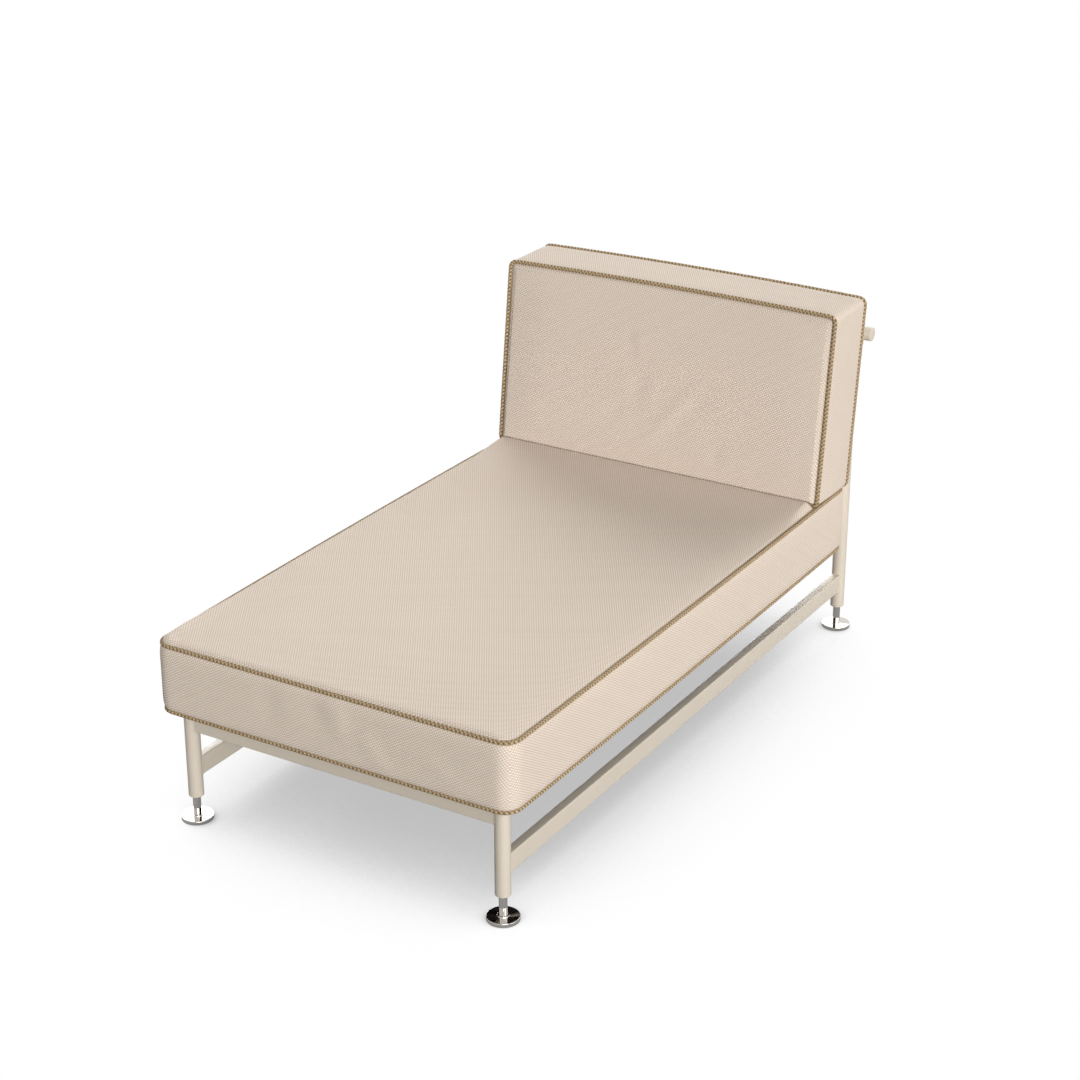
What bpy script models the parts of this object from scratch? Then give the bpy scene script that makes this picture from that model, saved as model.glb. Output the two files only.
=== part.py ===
"""Modular chaise longue: a tubular steel frame on levelling feet, with a corded mattress and back cushion.

Units are metres, +Z is up and +Y points towards the head end. Lengths along Y are measured from the
axis of the front legs, and the whole chaise hangs on one empty that centres it over the origin.
"""

import math
from dataclasses import dataclass

import bmesh
import bpy
from mathutils import Matrix, Vector

# Clearance between pieces that touch
GAP = 0.0003

# Upright tubes
LEG_SPACING = 0.700
LEG_PITCH = 1.437
TUBE_DIAMETER = 0.030
TUBE_WALL = 0.002
TUBE_RIM = 0.0025
LEG_CLEARANCE = 0.0515
POST_RISE = 0.024

# Caps of the tubes
CAP_THICKNESS = 0.002
CAP_SPIGOT = 0.012
CAP_CHAMFER = 0.0006

# Rectangular rails
SIDE_RAIL_WIDTH = 0.020
SIDE_RAIL_HEIGHT = 0.040
SIDE_RAIL_CENTRE = 0.113
CROSS_RAIL_WIDTH = 0.020
CROSS_RAIL_HEIGHT = 0.040
RAIL_WALL = 0.002
RAIL_CORNER = 0.003

# Deck under the mattress
DECK_HEIGHT = 0.241
DECK_STEP = 0.005
SLAT_COUNT = 8
SLAT_WIDTH = 0.080
SLAT_THICKNESS = 0.008
SLAT_CHAMFER = 0.0015
SLAT_OVERHANG = 0.120
DECK_FRONT_MARGIN = 0.070
DECK_REAR_MARGIN = 0.140
BEARER_SPACING = 0.440
BEARER_WIDTH = 0.020
BEARER_HEIGHT = 0.030

# Back bars in front of and behind the posts
BAR_DIAMETER = 0.030
BAR_WALL = 0.002
BAR_HEIGHT = 0.696
BAR_OVERHANG = 0.036

# Levelling feet
STEM_DIAMETER = 0.016
STEM_ENGAGEMENT = 0.046
STEM_CHAMFER = 0.001
INSERT_HEIGHT = 0.026
INSERT_INSET = 0.001
DISC_DIAMETER = 0.063
DISC_THICKNESS = 0.0061
DISC_EDGE = 0.0012
COLLAR_DIAMETER = 0.0225
COLLAR_HEIGHT = 0.0025
PIVOT_DIAMETER = 0.010
PIVOT_HEAD_DIAMETER = 0.016
PIVOT_HEAD_HEIGHT = 0.0016
PAD_DIAMETER = 0.058
PAD_THICKNESS = 0.002

# Cushions
PIPING_DIAMETER = 0.009
COVER_THICKNESS = 0.003
EDGE_RADIUS = 0.008
ZIP_WIDTH = 0.010
MATTRESS_FRONT_OVERHANG = 0.0426
MATTRESS_SIDE_OVERHANG = 0.0445
MATTRESS_REAR_CLEARANCE = 0.0944
MATTRESS_THICKNESS = 0.1377
MATTRESS_LIFT = 0.006
MATTRESS_CROWN = 0.009
MATTRESS_CROWN_SPREAD = 0.200
MATTRESS_CORNER = 0.031
MATTRESS_SIDE_BOW = 0.003
MATTRESS_WALL_BULGE = 0.0045
BACK_SIDE_OVERHANG = 0.0465
BACK_HEIGHT = 0.401
BACK_THICKNESS = 0.1505
BACK_LEAN_DEGREES = 7.0
BACK_CROWN = 0.0135
BACK_CROWN_SPREAD = 0.090
BACK_TOP_CORNER = 0.013
BACK_LOW_CORNER = 0.020
BACK_TOP_BOW = 0.005
BACK_WALL_BULGE = 0.003

# Facets
TUBE_SIDES = 24
FOOT_SIDES = 28
RAIL_CORNER_STEPS = 2
PIPING_RESOLUTION = 2
CUSHION_CORNER_STEPS = 4
CUSHION_SIDE_STEPS = 4
CUSHION_EDGE_STEPS = 4
CUSHION_CROWN_STEPS = 3
LINING_EDGE_STEPS = 2
LINING_CROWN_STEPS = 2
SMOOTH_ANGLE = math.radians(35)

# Heights and places that follow from the values above
TUBE_RADIUS = TUBE_DIAMETER / 2
TUBE_BORE = TUBE_RADIUS - TUBE_WALL
BAR_RADIUS = BAR_DIAMETER / 2
CROSS_RAIL_TOP = DECK_HEIGHT - DECK_STEP
POST_TOP = BAR_HEIGHT + POST_RISE
BAR_OFFSET = TUBE_RADIUS + GAP + BAR_RADIUS
BAR_HALF_LENGTH = LEG_SPACING / 2 + BAR_OVERHANG
PIPING_RADIUS = PIPING_DIAMETER / 2
PIPING_STANDOFF = (EDGE_RADIUS + GAP + PIPING_RADIUS) / math.sqrt(2) - EDGE_RADIUS
MATTRESS_LOW = DECK_HEIGHT + GAP + MATTRESS_LIFT
MATTRESS_HIGH = MATTRESS_LOW + MATTRESS_THICKNESS
MATTRESS_SUMMIT = MATTRESS_HIGH - PIPING_STANDOFF + MATTRESS_CROWN
BACK_LEAN = math.radians(BACK_LEAN_DEGREES)
BACK_LOW = MATTRESS_SUMMIT + GAP + PIPING_RADIUS
DISC_UNDERSIDE = PAD_THICKNESS + GAP
DISC_TOP = DISC_UNDERSIDE + DISC_THICKNESS
COLLAR_TOP = DISC_TOP + COLLAR_HEIGHT
REACH_FRONT = -MATTRESS_FRONT_OVERHANG - PIPING_RADIUS
REACH_REAR = LEG_PITCH + BAR_OFFSET + BAR_RADIUS
CENTRE_Y = (REACH_FRONT + REACH_REAR) / 2


@dataclass(frozen=True)
class Finish:
    """Colour, roughness and metallic value of one kind of surface."""

    name: str
    colour: tuple
    roughness: float
    metallic: float = 0.0


FRAME_PAINT = Finish("frame_paint", (0.745, 0.665, 0.545), 0.42)
CHROME = Finish("chrome", (0.86, 0.85, 0.83), 0.06, 1.0)
INSERT_METAL = Finish("insert_metal", (0.55, 0.55, 0.56), 0.35, 1.0)
GLIDE = Finish("glide", (0.035, 0.034, 0.033), 0.6)
PLYWOOD = Finish("plywood", (0.042, 0.030, 0.021), 0.6)
WEAVE = Finish("weave", (0.730, 0.610, 0.485), 0.9)
CORDING = Finish("cording", (0.300, 0.205, 0.090), 0.85)
FOAM = Finish("foam", (0.82, 0.76, 0.58), 0.95)
ZIP_TAPE = Finish("zip_tape", (0.52, 0.42, 0.31), 0.7)


def clear_scene():
    """Remove every object of the open scene."""
    for item in list(bpy.data.objects):
        bpy.data.objects.remove(item)


def add_empty(name, location, parent=None):
    """An empty that carries pieces, placed relative to its parent."""
    empty = bpy.data.objects.new(name, None)
    empty.parent = parent
    empty.location = location
    bpy.context.scene.collection.objects.link(empty)
    return empty


def make_material(name, finish):
    """A Principled material of that finish."""
    material = bpy.data.materials.new(name)
    material.use_nodes = True
    shader = material.node_tree.nodes["Principled BSDF"]
    shader.inputs["Base Color"].default_value = (*finish.colour, 1.0)
    shader.inputs["Roughness"].default_value = finish.roughness
    shader.inputs["Metallic"].default_value = finish.metallic
    return material


def link_part(name, data, finish, parent, location, rotation=(0.0, 0.0, 0.0)):
    """One named sub-part on its parent empty, with its own material."""
    data.materials.append(make_material(f"{name}_{finish.name}", finish))
    part = bpy.data.objects.new(name, data)
    part.parent = parent
    part.location = location
    part.rotation_euler = rotation
    bpy.context.scene.collection.objects.link(part)
    return part


def mesh_from(bm, name):
    """A mesh with outward normals and smooth round faces, from a bmesh that is then freed."""
    bmesh.ops.remove_doubles(bm, verts=bm.verts, dist=1e-6)
    bmesh.ops.recalc_face_normals(bm, faces=bm.faces)
    mesh = bpy.data.meshes.new(name)
    bm.to_mesh(mesh)
    bm.free()
    mesh.shade_smooth()
    mesh.set_sharp_from_angle(angle=SMOOTH_ANGLE)
    return mesh


def turned(name, profile, sides, ring):
    """A turned mesh about Z from (radius, height) points; a ring profile closes on itself."""
    bm = bmesh.new()
    points = [bm.verts.new((radius, 0.0, height)) for radius, height in profile]
    pairs = list(zip(points, points[1:]))
    if ring:
        pairs.append((points[-1], points[0]))
    edges = [bm.edges.new(pair) for pair in pairs]
    bmesh.ops.spin(bm, geom=points + edges, cent=(0, 0, 0), axis=(0, 0, 1),
                   angle=math.tau, steps=sides, use_merge=True)
    return mesh_from(bm, name)


def tube_mesh(name, radius, wall, length, rim):
    """A round tube from z = 0 to its length, with its lower rim rounded."""
    bore = radius - wall
    soft = min(rim, wall * 0.9)
    slope = soft * (1 - math.sqrt(0.5))
    profile = [
        (bore, 0.0),
        (radius - soft, 0.0),
        (radius - slope, slope),
        (radius, soft),
        (radius, length),
        (bore, length),
    ]
    return turned(name, profile, TUBE_SIDES, ring=True)


def cap_mesh(name, radius, bore):
    """A tube cap: a flange on z = 0 that faces +Z, and a spigot down into the tube."""
    spigot = bore - GAP
    profile = [
        (0.0, CAP_THICKNESS),
        (radius - CAP_CHAMFER, CAP_THICKNESS),
        (radius, CAP_THICKNESS - CAP_CHAMFER),
        (radius, 0.0),
        (spigot, 0.0),
        (spigot, -CAP_SPIGOT + CAP_CHAMFER),
        (spigot - CAP_CHAMFER, -CAP_SPIGOT),
        (0.0, -CAP_SPIGOT),
    ]
    return turned(name, profile, TUBE_SIDES, ring=False)


def rounded_outline(half_u, half_v, corners, corner_steps):
    """Points of a rectangle with its own radius on each corner, counter-clockwise from the lower right."""
    points = []
    signs = ((1, -1), (1, 1), (-1, 1), (-1, -1))
    for index, ((sign_u, sign_v), corner) in enumerate(zip(signs, corners)):
        start = math.radians(-90 + 90 * index)
        for step in range(corner_steps + 1):
            angle = start + math.pi / 2 * step / corner_steps
            points.append((sign_u * (half_u - corner) + corner * math.cos(angle),
                           sign_v * (half_v - corner) + corner * math.sin(angle)))
    return points


def box_tube_mesh(name, width, height, length):
    """A rectangular tube along Y from y = 0, with round corners and open ends."""
    bm = bmesh.new()
    inner_corner = max(RAIL_CORNER - RAIL_WALL, 0.0005)
    outer = rounded_outline(width / 2, height / 2, [RAIL_CORNER] * 4, RAIL_CORNER_STEPS)
    inner = rounded_outline(width / 2 - RAIL_WALL, height / 2 - RAIL_WALL, [inner_corner] * 4,
                            RAIL_CORNER_STEPS)
    rings = [[bm.verts.new((x, y, z)) for x, z in outline]
             for outline, y in ((outer, 0.0), (outer, length), (inner, length), (inner, 0.0))]
    for first, second in zip(rings, rings[1:] + rings[:1]):
        for i in range(len(first)):
            j = (i + 1) % len(first)
            bm.faces.new((first[i], first[j], second[j], second[i]))
    return mesh_from(bm, name)


def slat_mesh(name, length):
    """A plywood slat along X with eased long edges, its underside on z = 0."""
    bm = bmesh.new()
    half = SLAT_WIDTH / 2
    outline = [
        (-half, SLAT_CHAMFER), (-half + SLAT_CHAMFER, 0.0), (half - SLAT_CHAMFER, 0.0),
        (half, SLAT_CHAMFER), (half, SLAT_THICKNESS - SLAT_CHAMFER),
        (half - SLAT_CHAMFER, SLAT_THICKNESS), (-half + SLAT_CHAMFER, SLAT_THICKNESS),
        (-half, SLAT_THICKNESS - SLAT_CHAMFER),
    ]
    face = bm.faces.new([bm.verts.new((-length / 2, y, z)) for y, z in outline])
    grown = bmesh.ops.extrude_face_region(bm, geom=[face])["geom"]
    moved = [item for item in grown if isinstance(item, bmesh.types.BMVert)]
    bmesh.ops.translate(bm, verts=moved, vec=(length, 0, 0))
    return mesh_from(bm, name)


def add_cope_cutter(name, height, parent, location):
    """A hidden cylinder, one clearance larger than a leg, that copes the rails onto it."""
    radius = TUBE_RADIUS + GAP
    mesh = turned(name, [(0.0, height), (radius, height), (radius, 0.0), (0.0, 0.0)], TUBE_SIDES, ring=False)
    cutter = bpy.data.objects.new(name, mesh)
    cutter.parent = parent
    cutter.location = location
    cutter.hide_render = True
    cutter.display_type = "WIRE"
    bpy.context.scene.collection.objects.link(cutter)
    return cutter


def cope(rail, cutters):
    """Cut both ends of a rail to the round of its legs."""
    for cutter in cutters:
        cut = rail.modifiers.new(cutter.name, "BOOLEAN")
        cut.operation = "DIFFERENCE"
        cut.object = cutter


def build_uprights(root):
    """Front legs and rear posts with their caps; returns the cope cutters by corner."""
    cutters = {}
    for side, x in (("left", -LEG_SPACING / 2), ("right", LEG_SPACING / 2)):
        for end, y, top, tube, cap in (
            ("front", 0.0, CROSS_RAIL_TOP, "front_leg", "leg_cap"),
            ("rear", LEG_PITCH, POST_TOP, "rear_post", "post_cap"),
        ):
            length = top - LEG_CLEARANCE
            tube_name = f"{tube}_{side}"
            mesh = tube_mesh(tube_name, TUBE_RADIUS, TUBE_WALL, length, TUBE_RIM)
            link_part(tube_name, mesh, FRAME_PAINT, root, (x, y, LEG_CLEARANCE))
            cap_name = f"{cap}_{side}"
            mesh = cap_mesh(cap_name, TUBE_RADIUS, TUBE_BORE)
            link_part(cap_name, mesh, FRAME_PAINT, root, (x, y, top + GAP))
            cutters[end, side] = add_cope_cutter(f"cope_{end}_{side}", length, root, (x, y, LEG_CLEARANCE))
    return cutters


def build_rails(root, cutters):
    """Side stretchers and cross rails, coped onto the round legs."""
    for side, x in (("left", -LEG_SPACING / 2), ("right", LEG_SPACING / 2)):
        name = f"side_rail_{side}"
        mesh = box_tube_mesh(name, SIDE_RAIL_WIDTH, SIDE_RAIL_HEIGHT, LEG_PITCH)
        rail = link_part(name, mesh, FRAME_PAINT, root, (x, 0.0, SIDE_RAIL_CENTRE))
        cope(rail, (cutters["front", side], cutters["rear", side]))
    middle = CROSS_RAIL_TOP - CROSS_RAIL_HEIGHT / 2
    for end, y in (("front", 0.0), ("rear", LEG_PITCH)):
        name = f"{end}_cross_rail"
        mesh = box_tube_mesh(name, CROSS_RAIL_WIDTH, CROSS_RAIL_HEIGHT, LEG_SPACING)
        rail = link_part(name, mesh, FRAME_PAINT, root, (LEG_SPACING / 2, y, middle), (0, 0, math.pi / 2))
        cope(rail, (cutters[end, "left"], cutters[end, "right"]))


def build_deck(root):
    """Bearers between the cross rails, and the slats across them."""
    slat_underside = DECK_HEIGHT - SLAT_THICKNESS
    bearer_middle = slat_underside - GAP - BEARER_HEIGHT / 2
    start = CROSS_RAIL_WIDTH / 2 + GAP
    for side, x in (("left", -BEARER_SPACING / 2), ("right", BEARER_SPACING / 2)):
        name = f"deck_bearer_{side}"
        mesh = box_tube_mesh(name, BEARER_WIDTH, BEARER_HEIGHT, LEG_PITCH - 2 * start)
        link_part(name, mesh, FRAME_PAINT, root, (x, start, bearer_middle))
    span = LEG_PITCH - DECK_FRONT_MARGIN - DECK_REAR_MARGIN
    for index in range(SLAT_COUNT):
        name = f"deck_slat_{index + 1}"
        y = DECK_FRONT_MARGIN + span * index / (SLAT_COUNT - 1)
        mesh = slat_mesh(name, BEARER_SPACING + 2 * SLAT_OVERHANG)
        link_part(name, mesh, PLYWOOD, root, (0.0, y, slat_underside))


def build_back_bars(root):
    """The two tubes that the posts stand between, each with a cap on both ends."""
    half_tube = BAR_HALF_LENGTH - CAP_THICKNESS - GAP
    for end, y in (("front", LEG_PITCH - BAR_OFFSET), ("rear", LEG_PITCH + BAR_OFFSET)):
        name = f"back_bar_{end}"
        mesh = tube_mesh(name, BAR_RADIUS, BAR_WALL, 2 * half_tube, CAP_CHAMFER)
        link_part(name, mesh, FRAME_PAINT, root, (-half_tube, y, BAR_HEIGHT), (0, math.pi / 2, 0))
        for side, sign in (("left", -1), ("right", 1)):
            cap = f"back_bar_cap_{end}_{side}"
            mesh = cap_mesh(cap, BAR_RADIUS, BAR_RADIUS - BAR_WALL)
            link_part(cap, mesh, FRAME_PAINT, root, (sign * (half_tube + GAP), y, BAR_HEIGHT),
                      (0, sign * math.pi / 2, 0))


def insert_mesh(name):
    """The threaded insert that closes a tube's lower end and guides the stem."""
    bore = STEM_DIAMETER / 2 + GAP
    outer = TUBE_BORE - GAP
    profile = [
        (bore, 0.0),
        (outer - CAP_CHAMFER, 0.0),
        (outer, CAP_CHAMFER),
        (outer, INSERT_HEIGHT),
        (bore, INSERT_HEIGHT),
    ]
    return turned(name, profile, FOOT_SIDES, ring=True)


def stem_mesh(name):
    """The stem with its pivot and the pivot's head, which holds the disc from below."""
    stem = STEM_DIAMETER / 2
    pivot = PIVOT_DIAMETER / 2
    head = PIVOT_HEAD_DIAMETER / 2
    foot = DISC_UNDERSIDE
    top = LEG_CLEARANCE + STEM_ENGAGEMENT
    profile = [
        (0.0, top),
        (stem - STEM_CHAMFER, top),
        (stem, top - STEM_CHAMFER),
        (stem, COLLAR_TOP + GAP),
        (pivot, COLLAR_TOP + GAP),
        (pivot, foot + PIVOT_HEAD_HEIGHT),
        (head, foot + PIVOT_HEAD_HEIGHT),
        (head, foot),
        (0.0, foot),
    ]
    return turned(name, profile, FOOT_SIDES, ring=False)


def disc_mesh(name):
    """The swivel disc, with a collar round the stem and a counterbore for the pivot's head."""
    bore = PIVOT_DIAMETER / 2 + GAP
    counterbore = PIVOT_HEAD_DIAMETER / 2 + GAP
    ledge = DISC_UNDERSIDE + PIVOT_HEAD_HEIGHT + GAP
    rim = DISC_DIAMETER / 2
    collar = COLLAR_DIAMETER / 2
    profile = [
        (bore, ledge),
        (counterbore, ledge),
        (counterbore, DISC_UNDERSIDE),
        (rim - DISC_EDGE / 2, DISC_UNDERSIDE),
        (rim, DISC_UNDERSIDE + DISC_EDGE / 2),
        (rim, DISC_TOP - DISC_EDGE),
        (rim - DISC_EDGE, DISC_TOP),
        (collar, DISC_TOP),
        (collar, COLLAR_TOP - STEM_CHAMFER),
        (collar - STEM_CHAMFER, COLLAR_TOP),
        (bore, COLLAR_TOP),
    ]
    return turned(name, profile, FOOT_SIDES, ring=True)


def pad_mesh(name):
    """The glide under the disc."""
    radius = PAD_DIAMETER / 2
    ease = PAD_THICKNESS / 4
    profile = [
        (0.0, PAD_THICKNESS),
        (radius, PAD_THICKNESS),
        (radius, ease),
        (radius - ease, 0.0),
        (0.0, 0.0),
    ]
    return turned(name, profile, FOOT_SIDES, ring=False)


def build_feet(root):
    """Four levelling feet: each insert stays in its tube, the rest hangs on the foot's own axis."""
    for end, y in (("front", 0.0), ("rear", LEG_PITCH)):
        for side, x in (("left", -LEG_SPACING / 2), ("right", LEG_SPACING / 2)):
            place = f"{end}_{side}"
            axis = add_empty(f"foot_axis_{place}", (x, y, 0.0), root)
            name = f"foot_insert_{place}"
            link_part(name, insert_mesh(name), INSERT_METAL, root, (x, y, LEG_CLEARANCE + INSERT_INSET))
            for kind, mesh_of, finish in (
                ("foot_stem", stem_mesh, CHROME),
                ("foot_disc", disc_mesh, CHROME),
                ("foot_pad", pad_mesh, GLIDE),
            ):
                name = f"{kind}_{place}"
                link_part(name, mesh_of(name), finish, axis, (0.0, 0.0, 0.0))


@dataclass(frozen=True)
class Cushion:
    """A boxed cushion about its own middle: u across, v along, w through its thickness.

    half_u, half_v and half_w reach the middle of the piping. The corners have their radii in the order near
    right, far right, far left, near left. The bows swell the piped edges outwards at mid-length, on the four
    sides in the order right, far, left, near. The zip lies in the wall of one side.
    """

    half_u: float
    half_v: float
    half_w: float
    corners: tuple
    bows: tuple
    wall_bulge: float
    crown_low: float
    crown_high: float
    crown_spread: float
    zip_side: int

    def outline(self, inset):
        """Points round the plan at that distance inside the line of the piping."""
        corners = [max(corner - inset, corner / 4) for corner in self.corners]
        half_u = self.half_u - inset
        half_v = self.half_v - inset
        arcs = rounded_outline(half_u, half_v, corners, CUSHION_CORNER_STEPS)
        fade = max(0.0, 1.0 - inset / self.crown_spread)
        outward = ((1, 0), (0, 1), (-1, 0), (0, -1))
        per_corner = CUSHION_CORNER_STEPS + 1
        points = []
        for side in range(4):
            arc = arcs[side * per_corner:(side + 1) * per_corner]
            following = arcs[((side + 1) % 4) * per_corner]
            points.extend(arc)
            for step in range(1, CUSHION_SIDE_STEPS):
                share = step / CUSHION_SIDE_STEPS
                swell = self.bows[side] * fade * 4 * share * (1 - share)
                points.append(tuple(arc[-1][axis] * (1 - share) + following[axis] * share
                                    + outward[side][axis] * swell for axis in (0, 1)))
        return points

    def profile(self, offset, edge_steps, crown_steps):
        """(inset, height) pairs from the middle of the underside round to the middle of the top."""
        half = self.half_w - PIPING_STANDOFF - offset
        edge = EDGE_RADIUS - offset
        base = PIPING_STANDOFF + offset
        crowns = [k / crown_steps for k in range(1, crown_steps + 1)]
        turns = [math.pi / 2 * k / edge_steps for k in range(edge_steps + 1)]
        half_zip = ZIP_WIDTH / 2
        return [
            *[(base + edge + self.crown_spread * k, -half - self.crown_low * math.sin(math.pi / 2 * k))
              for k in reversed(crowns)],
            *[(base + edge * (1 - math.sin(t)), -half + edge * (1 - math.cos(t))) for t in turns],
            (base - self.wall_bulge, -half_zip),
            (base - self.wall_bulge, half_zip),
            *[(base + edge * (1 - math.cos(t)), half - edge * (1 - math.sin(t))) for t in turns],
            *[(base + edge + self.crown_spread * k, half + self.crown_high * math.sin(math.pi / 2 * k))
              for k in crowns],
        ]

    def zip_span(self):
        """First and last outline point of the zip, on the middle steps of its side."""
        first = self.zip_side * (CUSHION_CORNER_STEPS + CUSHION_SIDE_STEPS) + CUSHION_CORNER_STEPS + 1
        return first, first + CUSHION_SIDE_STEPS - 2

    def skin(self, bm, offset, edge_steps, crown_steps, zip_open):
        """Loft one skin of the cushion; returns the two rings that border the zip."""
        pairs = self.profile(offset, edge_steps, crown_steps)
        rings = [[bm.verts.new((u, v, height)) for u, v in self.outline(inset)] for inset, height in pairs]
        low = crown_steps + edge_steps + 1
        first, last = self.zip_span()
        bm.faces.new(rings[0])
        bm.faces.new(rings[-1])
        for level, (ring, above) in enumerate(zip(rings, rings[1:])):
            for i in range(len(ring)):
                if zip_open and level == low and first <= i < last:
                    continue
                j = (i + 1) % len(ring)
                bm.faces.new((ring[i], ring[j], above[j], above[i]))
        return rings[low], rings[low + 1]

    def cover_mesh(self, name, matrix):
        """The sewn cover: outer skin and lining, joined round the open zip."""
        bm = bmesh.new()
        outer = self.skin(bm, 0.0, CUSHION_EDGE_STEPS, CUSHION_CROWN_STEPS, True)
        lining = self.skin(bm, COVER_THICKNESS, LINING_EDGE_STEPS, LINING_CROWN_STEPS, True)
        first, last = self.zip_span()
        for ring, inner in zip(outer, lining):
            for i in range(first, last):
                bm.faces.new((ring[i], ring[i + 1], inner[i + 1], inner[i]))
        for i in (first, last):
            bm.faces.new((outer[0][i], outer[1][i], lining[1][i], lining[0][i]))
        bm.transform(matrix)
        return mesh_from(bm, name)

    def foam_mesh(self, name, matrix):
        """The foam core, one clearance inside the cover."""
        bm = bmesh.new()
        self.skin(bm, COVER_THICKNESS + GAP, LINING_EDGE_STEPS, LINING_CROWN_STEPS, False)
        bm.transform(matrix)
        return mesh_from(bm, name)

    def zip_mesh(self, name, matrix):
        """The zip's tape and coil, one clearance inside its opening."""
        bm = bmesh.new()
        first, last = self.zip_span()
        base = PIPING_STANDOFF - self.wall_bulge
        half = ZIP_WIDTH / 2 - GAP
        rails = []
        for inset, height in ((base + GAP, -half), (base + GAP, half),
                              (base + COVER_THICKNESS, half), (base + COVER_THICKNESS, -half)):
            line = [Vector(point) for point in self.outline(inset)[first:last + 1]]
            along = (line[-1] - line[0]).normalized() * GAP
            line[0] += along
            line[-1] -= along
            rails.append([bm.verts.new((*point, height)) for point in line])
        for rail, following in zip(rails, rails[1:] + rails[:1]):
            for i in range(len(rail) - 1):
                bm.faces.new((rail[i], rail[i + 1], following[i + 1], following[i]))
        bm.faces.new([rail[0] for rail in rails])
        bm.faces.new([rail[-1] for rail in rails])
        bm.transform(matrix)
        return mesh_from(bm, name)

    def piping_curve(self, name, matrix, height):
        """A closed cord along the piped edge at that height."""
        curve = bpy.data.curves.new(name, "CURVE")
        curve.dimensions = "3D"
        curve.bevel_depth = PIPING_RADIUS
        curve.bevel_resolution = PIPING_RESOLUTION
        spline = curve.splines.new("POLY")
        path = [matrix @ Vector((u, v, height)) for u, v in self.outline(0.0)]
        spline.points.add(len(path) - 1)
        for point, place in zip(spline.points, path):
            point.co = (*place, 1.0)
        spline.use_cyclic_u = True
        return curve


def build_cushion(root, name, cushion, matrix, centre, low_edge, high_edge):
    """All pieces of one cushion, about its centre."""
    link_part(f"{name}_cover", cushion.cover_mesh(f"{name}_cover", matrix), WEAVE, root, centre)
    link_part(f"{name}_foam", cushion.foam_mesh(f"{name}_foam", matrix), FOAM, root, centre)
    link_part(f"{name}_zip", cushion.zip_mesh(f"{name}_zip", matrix), ZIP_TAPE, root, centre)
    for edge, height in ((low_edge, -cushion.half_w), (high_edge, cushion.half_w)):
        piping = f"{name}_piping_{edge}"
        link_part(piping, cushion.piping_curve(piping, matrix, height), CORDING, root, centre)


def build_mattress(root):
    """The mattress on the deck, with its zip in the rear wall."""
    length = LEG_PITCH - MATTRESS_REAR_CLEARANCE + MATTRESS_FRONT_OVERHANG
    mattress = Cushion(
        half_u=LEG_SPACING / 2 + MATTRESS_SIDE_OVERHANG,
        half_v=length / 2,
        half_w=MATTRESS_THICKNESS / 2,
        corners=(MATTRESS_CORNER,) * 4,
        bows=(MATTRESS_SIDE_BOW, 0.0, MATTRESS_SIDE_BOW, 0.0),
        wall_bulge=MATTRESS_WALL_BULGE,
        crown_low=MATTRESS_LIFT + PIPING_STANDOFF,
        crown_high=MATTRESS_CROWN,
        crown_spread=MATTRESS_CROWN_SPREAD,
        zip_side=1,
    )
    centre = (0.0, length / 2 - MATTRESS_FRONT_OVERHANG, (MATTRESS_LOW + MATTRESS_HIGH) / 2)
    build_cushion(root, "seat", mattress, Matrix.Identity(4), centre, "bottom", "top")


def build_back_cushion(root):
    """The back cushion: it stands on the mattress and leans on the front back bar."""
    back = Cushion(
        half_u=LEG_SPACING / 2 + BACK_SIDE_OVERHANG,
        half_v=BACK_HEIGHT / 2,
        half_w=BACK_THICKNESS / 2,
        corners=(BACK_LOW_CORNER, BACK_TOP_CORNER, BACK_TOP_CORNER, BACK_LOW_CORNER),
        bows=(0.0, BACK_TOP_BOW, 0.0, 0.0),
        wall_bulge=BACK_WALL_BULGE,
        crown_low=BACK_CROWN,
        crown_high=BACK_CROWN,
        crown_spread=BACK_CROWN_SPREAD,
        zip_side=3,
    )
    lean = math.tan(BACK_LEAN)
    rest = LEG_PITCH - BAR_OFFSET - (BAR_RADIUS + GAP) / math.cos(BACK_LEAN)
    middle = BACK_LOW + BACK_HEIGHT / 2
    reach = BACK_THICKNESS / 2 - PIPING_STANDOFF + BACK_CROWN
    centre = (0.0, rest - reach - (BAR_HEIGHT - middle) * lean, middle)
    matrix = Matrix(((1, 0, 0, 0), (0, lean, -1, 0), (0, 1, 0, 0), (0, 0, 0, 1)))
    build_cushion(root, "back", back, matrix, centre, "rear", "front")


def main():
    """Build the chaise."""
    clear_scene()
    root = add_empty("chaise", (0.0, -CENTRE_Y, 0.0))
    cutters = build_uprights(root)
    build_rails(root, cutters)
    build_deck(root)
    build_back_bars(root)
    build_feet(root)
    build_mattress(root)
    build_back_cushion(root)
    bpy.context.view_layer.update()


main()
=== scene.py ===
"""Looks of a modular chaise longue: a welded tube frame on levelling feet, a slatted deck, and a boxed
mattress and back cushion in woven cloth, edged with twisted two-tone cord."""
import logging
import math
from dataclasses import dataclass, field
from enum import Enum
from typing import Any, Callable, Optional, Sequence

import bmesh
import bpy
import numpy as np
from bpy.types import Material, Mesh, Node, NodeSocket, NodeTree, Object
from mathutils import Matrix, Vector
from mathutils.kdtree import KDTree


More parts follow.
